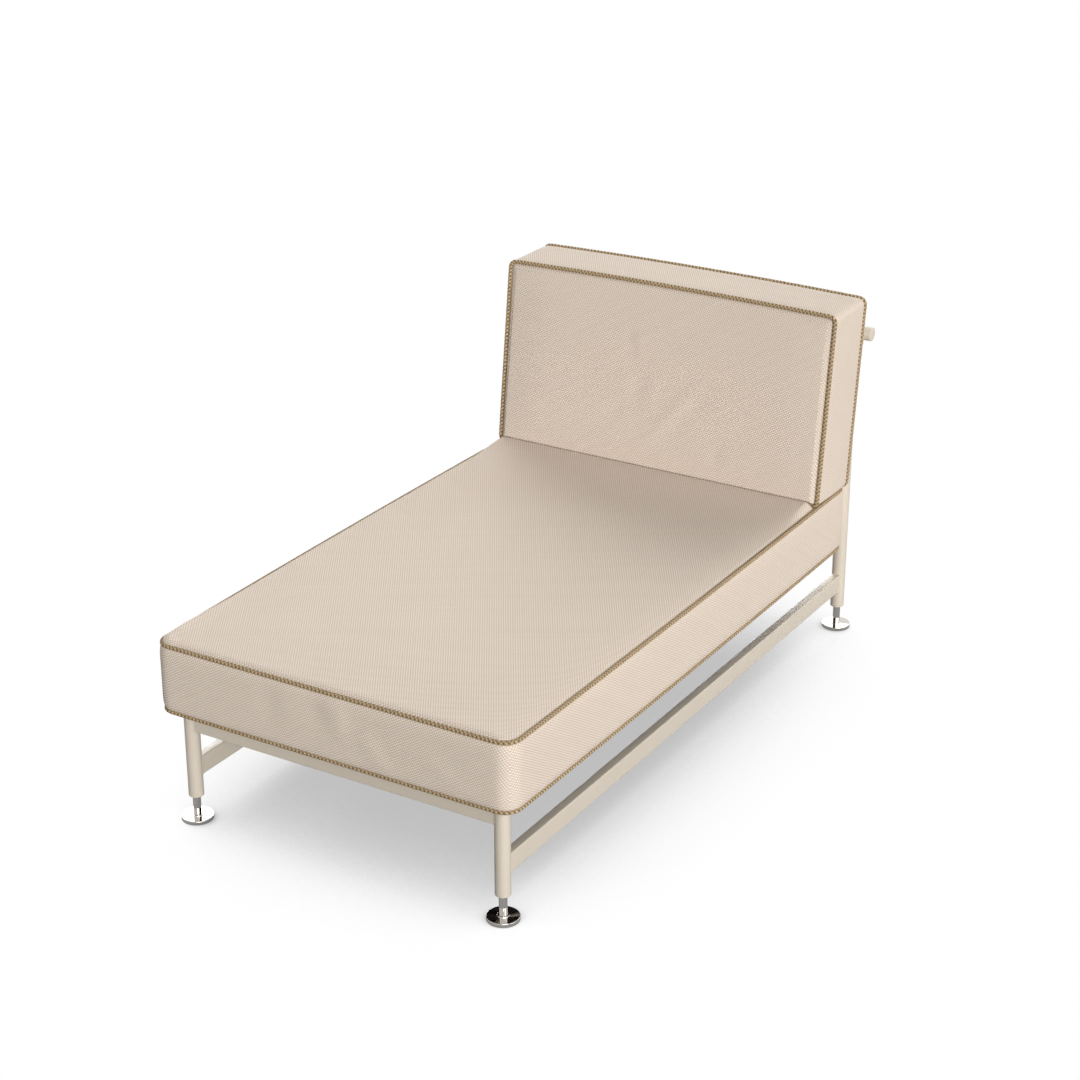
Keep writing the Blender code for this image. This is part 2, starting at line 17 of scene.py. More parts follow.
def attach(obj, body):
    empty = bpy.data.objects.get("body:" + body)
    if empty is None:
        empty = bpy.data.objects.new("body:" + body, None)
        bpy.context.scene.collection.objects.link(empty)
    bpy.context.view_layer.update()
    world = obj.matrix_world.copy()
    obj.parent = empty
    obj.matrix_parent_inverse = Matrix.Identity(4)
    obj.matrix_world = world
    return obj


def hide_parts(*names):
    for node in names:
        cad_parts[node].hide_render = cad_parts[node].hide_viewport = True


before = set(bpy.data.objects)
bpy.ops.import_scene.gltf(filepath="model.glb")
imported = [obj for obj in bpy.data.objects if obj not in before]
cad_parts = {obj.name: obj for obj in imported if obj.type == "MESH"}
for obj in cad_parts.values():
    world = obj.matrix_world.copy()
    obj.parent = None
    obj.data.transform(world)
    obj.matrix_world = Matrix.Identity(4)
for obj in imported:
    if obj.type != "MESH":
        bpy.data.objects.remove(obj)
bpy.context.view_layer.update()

LOG = logging.getLogger("chaise")
SMOOTH_ANGLE = math.radians(32.0)
FRAME_BODY = "frame"

Array = np.ndarray
Placing = Callable[[Array, Array, Array], Array]
PointRule = Callable[[Array], Array]
Colour = tuple[float, float, float]
Point = tuple[float, float, float]
Loop = list[tuple[float, float]]
Shell = tuple[Array, list[list[int]]]

SIDES = (("left", -1.0), ("right", 1.0))
SOCKET_TYPES = {float: "NodeSocketFloat", int: "NodeSocketInt", tuple: "NodeSocketVector"}


def srgb(red: int, green: int, blue: int) -> Colour:
    """Turns 8-bit display values into a linear colour.

    Args:
        red: Red, 0 to 255.
        green: Green, 0 to 255.
        blue: Blue, 0 to 255.

    Returns:
        The linear colour.
    """
    def linear(value: int) -> float:
        """Linear light of one 8-bit value."""
        share = value / 255.0
        return share / 12.92 if share <= 0.04045 else ((share + 0.055) / 1.055) ** 2.4
    return linear(red), linear(green), linear(blue)


def eased(share: Array) -> Array:
    """Smooth step of a share that is first kept between 0 and 1."""
    share = np.clip(share, 0.0, 1.0)
    return share * share * (3.0 - 2.0 * share)


def run_along(points: Array) -> Array:
    """Distance of each point from the first one, along the line through them."""
    return np.concatenate([[0.0], np.cumsum(np.linalg.norm(np.diff(points, axis=0), axis=1))])


def make_mesh(name: str, points: Any, faces: Sequence[Sequence[int]]) -> Mesh:
    """Makes a smooth-shaded mesh with sharp edges where its faces turn steeply.

    Args:
        name: Name of the mesh.
        points: Vertex places, in metres.
        faces: Vertex numbers of each face, counter-clockwise from outside.

    Returns:
        The mesh.
    """
    mesh = bpy.data.meshes.new(name)
    mesh.from_pydata(np.asarray(points, float).tolist(), [], [list(f) for f in faces])
    mesh.shade_smooth()
    mesh.set_sharp_from_angle(angle=SMOOTH_ANGLE)
    mesh.update()
    return mesh


def make_object(name: str, data: Any) -> Object:
    """Links a new object at the origin.

    Args:
        name: Name of the object.
        data: Its mesh, curve, light or camera.

    Returns:
        The object.
    """
    made = bpy.data.objects.new(name, data)
    bpy.context.scene.collection.objects.link(made)
    return made


def point_outwards(mesh: Mesh) -> None:
    """Turns the faces of a closed mesh outwards."""
    shell = bmesh.new()
    shell.from_mesh(mesh)
    bmesh.ops.recalc_face_normals(shell, faces=shell.faces)
    shell.to_mesh(mesh)
    shell.free()


def baked(source: Object) -> Mesh:
    """Makes a plain mesh of an object with its modifiers, and removes the object.

    Args:
        source: Object to make the mesh of.

    Returns:
        The mesh.
    """
    graph = bpy.context.evaluated_depsgraph_get()
    mesh = bpy.data.meshes.new_from_object(source.evaluated_get(graph), depsgraph=graph)
    bpy.data.objects.remove(source)
    return mesh


def map_weave(mesh: Mesh, places: Any) -> None:
    """Gives a mesh the UV map of the weave, in metres, from the place of each face corner."""
    layer = mesh.uv_layers.new(name="weave")
    layer.data.foreach_set("uv", np.array(places, np.float32).ravel())


def settle(name: str, mesh: Mesh, nodes: Sequence[str] = (), body: str = FRAME_BODY,
           finish: Optional["Finish"] = None) -> Object:
    """Makes a piece of a mesh, hands it to the frame and reports it.

    Args:
        name: Name of the piece.
        mesh: Its mesh.
        nodes: Solids that it stands for.
        body: Body that it moves with.
        finish: Its finish, where the mesh has no material yet.

    Returns:
        The piece.
    """
    mesh.name = name
    if finish is not None:
        mesh.materials.append(Finishes.get(finish))
    piece = make_object(name, mesh)
    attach(piece, body)
    if nodes:
        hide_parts(*nodes)
    LOG.info("%s: %d faces on %s", name, len(mesh.polygons), body)
    return piece


def joined(parts: Sequence[Shell]) -> Shell:
    """Puts several shells into one list of points and faces.

    Args:
        parts: Points and faces of each shell.

    Returns:
        Points and faces of all of them.
    """
    points, faces, start = [], [], 0
    for some_points, some_faces in parts:
        points.append(np.asarray(some_points, float))
        faces += [[start + i for i in f] for f in some_faces]
        start += len(some_points)
    return np.concatenate(points), faces


def revolve(profile: Loop, steps: int, closed: bool) -> Shell:
    """Turns a profile round the Z axis.

    Args:
        profile: (radius, height) pairs, going up on the outside.
        steps: Facets round the axis.
        closed: True where the profile is a loop, False where it starts and ends on the axis.

    Returns:
        Points and faces of the shell.
    """
    turns = np.arange(steps) * (math.tau / steps)
    points, rings = [], []
    for radius, height in profile:
        if radius < 1e-9:
            rings.append([len(points)] * steps)
            points.append((0.0, 0.0, height))
            continue
        rings.append([len(points) + i for i in range(steps)])
        points += [(radius * math.cos(a), radius * math.sin(a), height) for a in turns]
    faces = []
    count = len(rings)
    for k in range(count if closed else count - 1):
        low, high = rings[k], rings[(k + 1) % count]
        for i in range(steps):
            j = (i + 1) % steps
            corners = [low[i], low[j], high[j], high[i]]
            faces.append(list(dict.fromkeys(corners)))
    return np.array(points), faces


def rounded(profile: Sequence[tuple[float, float, float]], steps: int = 5) -> Loop:
    """Rounds the corners of a profile.

    Args:
        profile: (radius, height, rounding) of each corner in order.
        steps: Segments in each rounding.

    Returns:
        The profile with an arc at each rounded corner.
    """
    made: Loop = []
    for k, (x, y, r) in enumerate(profile):
        if r <= 0.0 or k in (0, len(profile) - 1):
            made.append((x, y))
            continue
        here = np.array([x, y])
        before = np.array(profile[k - 1][:2]) - here
        after = np.array(profile[k + 1][:2]) - here
        before, after = before / np.linalg.norm(before), after / np.linalg.norm(after)
        half = math.acos(float(np.clip(before @ after, -1.0, 1.0))) / 2.0
        cut = r / math.tan(half)
        centre = here + (before + after) / np.linalg.norm(before + after) * r / math.sin(half)
        start, end = here + before * cut - centre, here + after * cut - centre
        span = math.acos(float(np.clip(start @ end / r ** 2, -1.0, 1.0)))
        for i in range(steps + 1):
            t = i / steps
            p = centre + (math.sin((1 - t) * span) * start + math.sin(t * span) * end) / math.sin(span)
            made.append((float(p[0]), float(p[1])))
    return made


def box_corners(half_x: float, half_y: float, corner: float, steps: int) -> tuple[Array, Array]:
    """Outline of a rectangle with rounded corners, counter-clockwise.

    Args:
        half_x: Half of its size along the first axis.
        half_y: Half of its size along the second axis.
        corner: Radius of its corners.
        steps: Segments in each corner.

    Returns:
        The centre that each point turns round, and the point's direction from there.
    """
    centres, ways = [], []
    for k, (sx, sy) in enumerate(((1, 1), (-1, 1), (-1, -1), (1, -1))):
        for a in np.linspace(k * math.pi / 2, (k + 1) * math.pi / 2, steps + 1):
            centres.append((sx * (half_x - corner), sy * (half_y - corner)))
            ways.append((math.cos(a), math.sin(a)))
    return np.array(centres), np.array(ways)


def banded(rings: Sequence[Array]) -> Shell:
    """Joins rings of points, each to the next, into a shell with flat ends.

    Args:
        rings: Points of each ring.

    Returns:
        Points and faces.
    """
    count, last = len(rings[0]), len(rings) - 1
    faces = []
    for k in range(last):
        for i in range(count):
            j = (i + 1) % count
            faces.append([k * count + i, k * count + j, (k + 1) * count + j, (k + 1) * count + i])
    faces += [list(range(count))[::-1], [last * count + i for i in range(count)]]
    return np.concatenate(rings), faces


def plate(half_length: float, half_width: float, thickness: float, corner: float, edge: float) -> Shell:
    """Makes a flat plate with rounded corners and edges, centred on the origin at its underside.

    Args:
        half_length: Half of its length along X.
        half_width: Half of its width along Y.
        thickness: Its thickness along Z.
        corner: Radius of its four corners.
        edge: Rounding of its edges.

    Returns:
        Points and faces.
    """
    centres, ways = box_corners(half_length, half_width, corner, 5)
    ease = 0.3 * edge
    rings = []
    for inset, z in ((edge, 0.0), (ease, ease), (0.0, edge), (0.0, thickness - edge),
                     (ease, thickness - ease), (edge, thickness)):
        rings.append(np.column_stack([centres + (corner - inset) * ways, np.full(len(ways), z)]))
    return banded(rings)


def aimed(points: Array, base: Point, along: Point) -> Array:
    """Moves points made about the Z axis so that the axis runs from a base along a direction."""
    turn = Vector((0.0, 0.0, 1.0)).rotation_difference(Vector(along).normalized()).to_matrix()
    return np.asarray(points) @ np.array(turn).T + np.array(base)


class Graph:
    """Adds nodes to one node tree and wires them."""

    def __init__(self, tree: NodeTree) -> None:
        """Keeps the tree."""
        self.tree = tree

    def add(self, kind: str, wires: Optional[dict[Any, Any]] = None, **settings: Any) -> Node:
        """Adds a node.

        Args:
            kind: Blender's name of the node type.
            wires: Value or socket for each input, by name or number.
            settings: Properties of the node.

        Returns:
            The node.
        """
        node = self.tree.nodes.new(kind)
        for key, value in settings.items():
            setattr(node, key, value)
        for key, value in (wires or {}).items():
            self.wire(node.inputs[key], value)
        return node

    def wire(self, socket: NodeSocket, value: Any) -> None:
        """Gives an input its value, or the socket that feeds it.

        Args:
            socket: The input.
            value: Its value, or a socket.
        """
        if isinstance(value, NodeSocket):
            self.tree.links.new(value, socket)
            return
        if isinstance(value, tuple) and len(value) == 3 and socket.type == "RGBA":
            value = (*value, 1.0)
        socket.default_value = value

    def math(self, operation: str, *values: Any, clamp: bool = False) -> NodeSocket:
        """Adds a Math node.

        Args:
            operation: Name of the operation.
            values: Its inputs in order, numbers or sockets.
            clamp: True to keep the result between 0 and 1.

        Returns:
            The result's socket.
        """
        node = self.add("ShaderNodeMath", operation=operation, use_clamp=clamp)
        for socket, value in zip(node.inputs, values):
            self.wire(socket, value)
        return node.outputs[0]

    def vector(self, operation: str, *values: Any) -> NodeSocket:
        """Adds a Vector Math node.

        Args:
            operation: Name of the operation.
            values: Its vector inputs in order.

        Returns:
            The result's socket.
        """
        node = self.add("ShaderNodeVectorMath", operation=operation)
        for socket, value in zip(node.inputs, values):
            self.wire(socket, value)
        return node.outputs["Vector"]

    def own_place(self) -> NodeSocket:
        """Adds the piece's own coordinates and returns their socket."""
        return self.add("ShaderNodeTexCoord").outputs["Object"]

    def evenly(self, curve: Any, step: Any) -> NodeSocket:
        """Spaces the points of a curve evenly and returns the new curve's socket."""
        node = self.add("GeometryNodeResampleCurve", {"Curve": curve, "Length": step}, mode="LENGTH")
        return node.outputs[0]

    def stored(self, geometry: Any, name: str, value: Any) -> NodeSocket:
        """Stores a number at each point of a geometry and returns the socket of the geometry with it."""
        wires = {"Geometry": geometry, "Name": name, "Value": value}
        node = self.add("GeometryNodeStoreNamedAttribute", wires, data_type="FLOAT", domain="POINT")
        return node.outputs[0]

    def scaled(self, vector: Any, scale: Any) -> NodeSocket:
        """Scales a vector by a number and returns the result's socket."""
        node = self.add("ShaderNodeVectorMath", {"Vector": vector, "Scale": scale}, operation="SCALE")
        return node.outputs["Vector"]

    def between(self, factor: Any, low: Any, high: Any) -> NodeSocket:
        """Mixes two colours by the share of the second and returns the mixed colour's socket."""
        node = self.add("ShaderNodeMix", {0: factor, 6: low, 7: high}, data_type="RGBA")
        return node.outputs[2]

    def spread(self, value: Any, low: float, high: float, out_low: float, out_high: float) -> Any:
        """Maps a value smoothly from one range to another and returns the mapped value's socket."""
        node = self.add("ShaderNodeMapRange", {"Value": value, "From Min": low, "From Max": high,
                                               "To Min": out_low, "To Max": out_high},
                        interpolation_type="SMOOTHSTEP")
        return node.outputs[0]

    def noise(self, vector: Any, scale: Any, detail: float, roughness: float = 0.5) -> NodeSocket:
        """Adds a noise of so many waves per metre, 0.5 in the mean, and returns its socket."""
        node = self.add("ShaderNodeTexNoise", {"Vector": vector, "Scale": scale, "Detail": detail,
                                               "Roughness": roughness})
        return node.outputs[0]


def new_group(name: str, kind: str, inputs: dict[str, Any], outputs: Sequence[str]) -> tuple[Graph, Any, Any]:
    """Starts a node group with named sockets.

    Args:
        name: Name of the group.
        kind: Type of tree.
        inputs: Default of each input, or the type of its socket where it has none.
        outputs: Name of each output: a number from a shader group, and else a geometry.

    Returns:
        The graph of the group, the sockets of its inputs and the sockets of its outputs.
    """
    tree = bpy.data.node_groups.new(name, kind)
    for label, value in inputs.items():
        bare = isinstance(value, str)
        socket_type = value if bare else SOCKET_TYPES[type(value)]
        socket = tree.interface.new_socket(label, in_out="INPUT", socket_type=socket_type)
        if not bare:
            socket.default_value = value
    made_type = "NodeSocketFloat" if kind == "ShaderNodeTree" else "NodeSocketGeometry"
    for label in outputs:
        tree.interface.new_socket(label, in_out="OUTPUT", socket_type=made_type)
    graph = Graph(tree)
    return graph, graph.add("NodeGroupInput").outputs, graph.add("NodeGroupOutput").inputs


def labelled(values: dict[str, Any]) -> dict[str, Any]:
    """Names values as sockets show them, such as Strand Radius for strand_radius."""
    return {key.replace("_", " ").title(): value for key, value in values.items()}


class Library:
    """Node groups that are built by name, each once."""

    made: dict[str, NodeTree] = {}

    @classmethod
    def get(cls, name: str) -> NodeTree:
        """Returns a group by name, building it the first time."""
        if name not in cls.made:
            cls.made[name] = getattr(cls, "_" + name)()
        return cls.made[name]


class Effects(Library):
    """Shader groups that several finishes share."""

    @staticmethod
    def _thread_weave() -> NodeTree:
        """Hopsack weave: relief of its beads, the dark gaps between them, and a tone for each row.

        Returns:
            The group.
        """
        gap_starts, gap_most, mean_gap = (0.30, 0.25), 0.85, 0.52
        drift_rate, drift_change = 0.28, 0.28
        twin_rate, twin_change = 0.95, 0.4
        g, given, out = new_group("thread_weave", "ShaderNodeTree",
                                  {"Vector": (0.0, 0.0, 0.0), "Pitch": 0.0045, "Turn": 0.5},
                                  ("Relief", "Gap", "Yarn"))
        turned = g.add("ShaderNodeVectorRotate", {"Vector": given["Vector"], "Angle": given["Turn"]},
                       rotation_type="Z_AXIS")
        parts = g.add("ShaderNodeSeparateXYZ", {0: turned.outputs[0]})
        places = [g.math("DIVIDE", parts.outputs[k], given["Pitch"]) for k in range(2)]
        edges = [g.math("MULTIPLY", g.math("ABSOLUTE", g.math("SUBTRACT", g.math("FRACT", place), 0.5)), 2.0)
                 for place in places]
        rounds = [g.math("SUBTRACT", 1.0, g.math("MULTIPLY", edge, edge)) for edge in edges]
        open_shares = [g.math("SUBTRACT", 1.0, g.spread(edge, start, 1.0, 0.0, gap_most))
                       for edge, start in zip(edges, gap_starts)]
        drift = g.math("MULTIPLY", g.math("SUBTRACT", places[1], places[0]), drift_rate * math.tau)
        depth = g.math("MULTIPLY_ADD", g.math("COSINE", drift), drift_change, 1.0)
        change = g.math("SUBTRACT", 1.0 - mean_gap, g.math("MULTIPLY", *open_shares))
        twin = g.math("COSINE", g.math("MULTIPLY", places[0], twin_rate * math.pi))
        row = g.add("ShaderNodeCombineXYZ", {0: g.math("FLOOR", places[1])})
        yarn = g.add("ShaderNodeTexWhiteNoise", {"Vector": row.outputs[0]}, noise_dimensions="2D").outputs[0]
        g.wire(out["Relief"], g.math("MULTIPLY", rounds[1], g.math("MULTIPLY_ADD", rounds[0], 0.6, 0.4)))
        g.wire(out["Gap"], g.math("MULTIPLY_ADD", change, depth, mean_gap, clamp=True))
        g.wire(out["Yarn"], g.math("MULTIPLY_ADD", twin, twin_change, yarn))
        return g.tree

    @staticmethod
    def _soft_mottle() -> NodeTree:
        """Slow variation about 1 of a colour or a roughness.

        Returns:
            The group.
        """
        g, given, out = new_group("soft_mottle", "ShaderNodeTree",
                                  {"Vector": (0.0, 0.0, 0.0), "Scale": 12.0, "Amount": 0.05}, ("Value",))
        noise = g.noise(given["Vector"], given["Scale"], 4.0)
        centred = g.math("MULTIPLY", g.math("SUBTRACT", noise, 0.5), 2.0)
        g.wire(out["Value"], g.math("MULTIPLY_ADD", centred, given["Amount"], 1.0))
        return g.tree

    @staticmethod
    def _fine_grain() -> NodeTree:
        """Pitted grain of a sprayed, moulded or spun surface, as a height from 0 to 1.

        Returns:
            The group.
        """
        coarser, soft_share, cell_share = 0.35, 0.6, 0.5
        g, given, out = new_group("fine_grain", "ShaderNodeTree",
                                  {"Vector": (0.0, 0.0, 0.0), "Scale": 900.0}, ("Height",))
        cells = g.add("ShaderNodeTexVoronoi", {"Vector": given["Vector"], "Scale": given["Scale"]},
                      feature="SMOOTH_F1")
        soft = g.noise(given["Vector"], g.math("MULTIPLY", given["Scale"], coarser), 3.0)
        pits = g.math("MULTIPLY", cells.outputs[0], cell_share)
        g.wire(out["Height"], g.math("MULTIPLY_ADD", soft, soft_share, pits))
        return g.tree


@dataclass(frozen=True)
class Finish:
    """What every finish has: a name, a colour and a roughness."""

    name: str
    colour: Colour
    roughness: float = 0.5

    def start(self) -> tuple[Material, Graph, Any]:
        """Starts the material.

        Returns:
            The material, its graph and the inputs of its shader.
        """
        material = bpy.data.materials.new(self.name)
        material.use_nodes = True
        material.diffuse_color = (*self.colour, 1.0)
        graph = Graph(material.node_tree)
        shader = material.node_tree.nodes["Principled BSDF"].inputs
        shader["Base Color"].default_value = (*self.colour, 1.0)
        shader["Roughness"].default_value = self.roughness
        return material, graph, shader

    def make(self) -> Material:
        """Builds the finish's material."""
        return self.start()[0]

    @staticmethod
    def effect(graph: Graph, name: str, **inputs: Any) -> Node:
        """Places a shared effect in a material's graph and returns its node."""
        return graph.add("ShaderNodeGroup", inputs, node_tree=Effects.get(name))

    @staticmethod
    def relief(graph: Graph, shader: Any, height: Any, depth: float, strength: float) -> None:
        """Feeds a height from 0 to 1, of a depth in metres, into the shader's normal."""
        bump = graph.add("ShaderNodeBump", {"Height": height, "Distance": depth, "Strength": strength})
        graph.wire(shader["Normal"], bump.outputs[0])


@dataclass(frozen=True)
class WovenCloth(Finish):
    """Heavy two-tone weave on the piece's own UV map, which is in metres."""

    gap_colour: Colour = (0.5, 0.4, 0.3)
    pitch: float = 0.00445
    turn_degrees: float = -32.0
    yarn_change: float = 0.022
    mottle: float = 0.012

    def make(self) -> Material:
        """Builds the cloth's material.

        Returns:
            The material.
        """
        material, g, shader = self.start()
        uv = g.add("ShaderNodeUVMap", uv_map="weave")
        weave = self.effect(g, "thread_weave", Vector=uv.outputs[0], Pitch=self.pitch,
                            Turn=math.radians(self.turn_degrees))
        place = g.own_place()
        mottle = self.effect(g, "soft_mottle", Vector=place, Scale=9.0, Amount=self.mottle)
        yarn = g.math("MULTIPLY_ADD", g.math("SUBTRACT", weave.outputs["Yarn"], 0.5), self.yarn_change,
                      mottle.outputs[0])
        colour = g.between(weave.outputs["Gap"], self.colour, self.gap_colour)
        fibres = g.noise(place, 2200.0, 2.0)
        tone = g.math("MULTIPLY", yarn, g.spread(fibres, 0.2, 0.8, 0.975, 1.025))
        g.wire(shader["Base Color"], g.scaled(colour, tone))
        g.wire(shader["Roughness"], g.spread(weave.outputs["Relief"], 0.0, 1.0, 0.97, self.roughness))
        shader["Specular IOR Level"].default_value = 0.25
        shader["Sheen Weight"].default_value = 0.05
        shader["Sheen Roughness"].default_value = 0.6
        height = g.math("MULTIPLY_ADD", fibres, 0.12, weave.outputs["Relief"])
        self.relief(g, shader, height, 0.0006, 0.6)
        return material


@dataclass(frozen=True)
class TwistedCord(Finish):
    """Two-tone cord whose strands carry an attribute for their tone and their run."""

    second_colour: Colour = (0.5, 0.4, 0.2)
    fibre_pitch: float = 0.0009
    fleck_pitch: float = 0.0043
    fleck_change: float = 0.42

    def make(self) -> Material:
        """Builds the cord's material.

        Returns:
            The material.
        """
        material, g, shader = self.start()
        tone, run, turn, phase = [g.add("ShaderNodeAttribute", attribute_name="strand_" + key).outputs["Fac"]
                                  for key in ("tone", "run", "turn", "phase")]
        place = g.own_place()
        slant = g.math("ADD", g.math("DIVIDE", run, self.fibre_pitch), g.math("MULTIPLY", turn, 3.0))
        fibre = g.math("MULTIPLY_ADD", g.math("SINE", g.math("MULTIPLY", slant, math.tau)), 0.5, 0.5)
        fuzz = g.noise(place, 1800.0, 3.0, 0.6)
        mottle = self.effect(g, "soft_mottle", Vector=place, Scale=260.0, Amount=0.12)
        fleck = g.math("ADD", g.math("DIVIDE", run, self.fleck_pitch), phase)
        fleck = g.math("SINE", g.math("MULTIPLY", fleck, math.tau))
        mixed = g.math("MULTIPLY_ADD", fleck, self.fleck_change, tone, clamp=True)
        colour = g.between(mixed, self.colour, self.second_colour)
        shade = g.math("MULTIPLY", mottle.outputs[0], g.spread(fibre, 0.0, 1.0, 0.86, 1.08))
        g.wire(shader["Base Color"], g.scaled(colour, shade))
        g.wire(shader["Roughness"],
               g.spread(fuzz, 0.3, 0.7, self.roughness - 0.08, self.roughness + 0.06))
        shader["Specular IOR Level"].default_value = 0.25
        self.relief(g, shader, g.math("MULTIPLY_ADD", fuzz, 0.5, fibre), 0.00025, 0.7)
        return material


@dataclass(frozen=True)
class SprayedCoat(Finish):
    """Satin powder coat or matched plastic with a faint orange-peel skin."""

    peel: float = 420.0
    depth: float = 0.00006

    def make(self) -> Material:
        """Builds the coat's material.

        Returns:
            The material.
        """
        material, g, shader = self.start()
        place = g.own_place()
        grain = self.effect(g, "fine_grain", Vector=place, Scale=self.peel)
        mottle = self.effect(g, "soft_mottle", Vector=place, Scale=18.0, Amount=0.025)
        speck = g.noise(place, 2600.0, 1.0)
        tone = g.math("MULTIPLY", mottle.outputs[0], g.spread(speck, 0.25, 0.75, 0.985, 1.015))
        g.wire(shader["Base Color"], g.scaled(self.colour, tone))
        g.wire(shader["Roughness"], g.spread(grain.outputs[0], 0.2, 0.9, self.roughness - 0.05,
                                                    self.roughness + 0.06))
        shader["Specular IOR Level"].default_value = 0.5
        self.relief(g, shader, grain.outputs[0], self.depth, 0.5)
        return material


@dataclass(frozen=True)
class PlatedMetal(Finish):
    """Polished or plated metal with a faint variation of its polish."""

    haze: float = 0.04
    grain_scale: float = 60.0

    def make(self) -> Material:
        """Builds the metal's material.

        Returns:
            The material.
        """
        material, g, shader = self.start()
        shader["Metallic"].default_value = 1.0
        place = g.own_place()
        mottle = self.effect(g, "soft_mottle", Vector=place, Scale=self.grain_scale, Amount=1.0)
        smear = g.spread(mottle.outputs[0], 0.7, 1.5, self.roughness, self.roughness + self.haze)
        g.wire(shader["Roughness"], smear)
        grain = self.effect(g, "fine_grain", Vector=place, Scale=1500.0)
        self.relief(g, shader, grain.outputs[0], 0.000004, 0.2)
        return material


@dataclass(frozen=True)
class ShadeDarkPly(Finish):
    """Plywood whose dark tone is painted shade, with the wood's own grain along X."""

    grain_colour: Colour = (0.02, 0.015, 0.01)

    def make(self) -> Material:
        """Builds the plywood's material.

        Returns:
            The material.
        """
        material, g, shader = self.start()
        place = g.own_place()
        stretched = g.add("ShaderNodeMapping", {"Vector": place, "Scale": (3.0, 60.0, 60.0)})
        waves = g.noise(stretched.outputs[0], 2.0, 5.0, 0.6)
        pores = g.noise(g.vector("MULTIPLY", place, (40.0, 1400.0, 1400.0)), 1.0, 2.0)
        grain = g.math("MULTIPLY", g.spread(waves, 0.35, 0.65, 0.0, 1.0), g.spread(pores, 0.3, 0.6, 0.5, 1.0))
        g.wire(shader["Base Color"], g.between(grain, self.grain_colour, self.colour))
        g.wire(shader["Roughness"], g.spread(pores, 0.3, 0.7, self.roughness + 0.1, self.roughness))
        self.relief(g, shader, pores, 0.0002, 0.5)
        return material


@dataclass(frozen=True)
class MouldedRubber(Finish):
    """Matt moulded rubber with a pitted skin."""

    def make(self) -> Material:
        """Builds the rubber's material.

        Returns:
            The material.
        """
        material, g, shader = self.start()
        place = g.own_place()
        grain = self.effect(g, "fine_grain", Vector=place, Scale=1100.0)
        g.wire(shader["Roughness"], g.spread(grain.outputs[0], 0.2, 0.9, 0.55, 0.8))
        self.relief(g, shader, grain.outputs[0], 0.0001, 0.6)
        return material


class Finishes:
    """The finishes of this chaise, each made once."""

    CLOTH = WovenCloth("woven_cloth", srgb(234, 228, 224), 0.85, gap_colour=srgb(200, 174, 141))
    # Near-black cloth for the mattress's under panel: painted shade standing in for the shaded underside.
    SHADE_LINING = WovenCloth("shade_dark_underside_cloth", srgb(44, 41, 38), 0.9, gap_colour=srgb(22, 20, 19), pitch=0.0011,
                        turn_degrees=0.0)
    TAPE = WovenCloth("zip_tape_cloth", srgb(190, 172, 150), 0.9, gap_colour=srgb(150, 132, 110),
                      pitch=0.0008, turn_degrees=0.0)
    CORD = TwistedCord("twisted_cord", srgb(125, 99, 67), 0.85, second_colour=srgb(215, 194, 158))
    COAT = SprayedCoat("powder_coat", srgb(210, 199, 183), 0.42)
    CAP = SprayedCoat("cap_plastic", srgb(212, 202, 187), 0.5, peel=700.0, depth=0.00003)
    CHROME = PlatedMetal("chrome_plate", srgb(212, 208, 203), 0.05)
    ZINC = PlatedMetal("zinc_plate", srgb(176, 176, 180), 0.3, haze=0.15, grain_scale=200.0)
    # Slat plywood: its dark tone is painted shade for the shaded underside that the feet's chrome reflects;
    # the grain is the wood's own.
    PLY = ShadeDarkPly("shade_dark_plywood", srgb(58, 48, 40), 0.55, grain_colour=srgb(30, 25, 21))
    RUBBER = MouldedRubber("moulded_rubber", srgb(42, 41, 40), 0.7)
    NYLON = SprayedCoat("zip_nylon", srgb(186, 168, 146), 0.55, peel=1500.0, depth=0.00002)
    made: dict[str, Material] = {}

    @classmethod
    def get(cls, finish: Finish) -> Material:
        """Returns a finish's material, making it the first time."""
        if finish.name not in cls.made:
            cls.made[finish.name] = finish.make()
        return cls.made[finish.name]


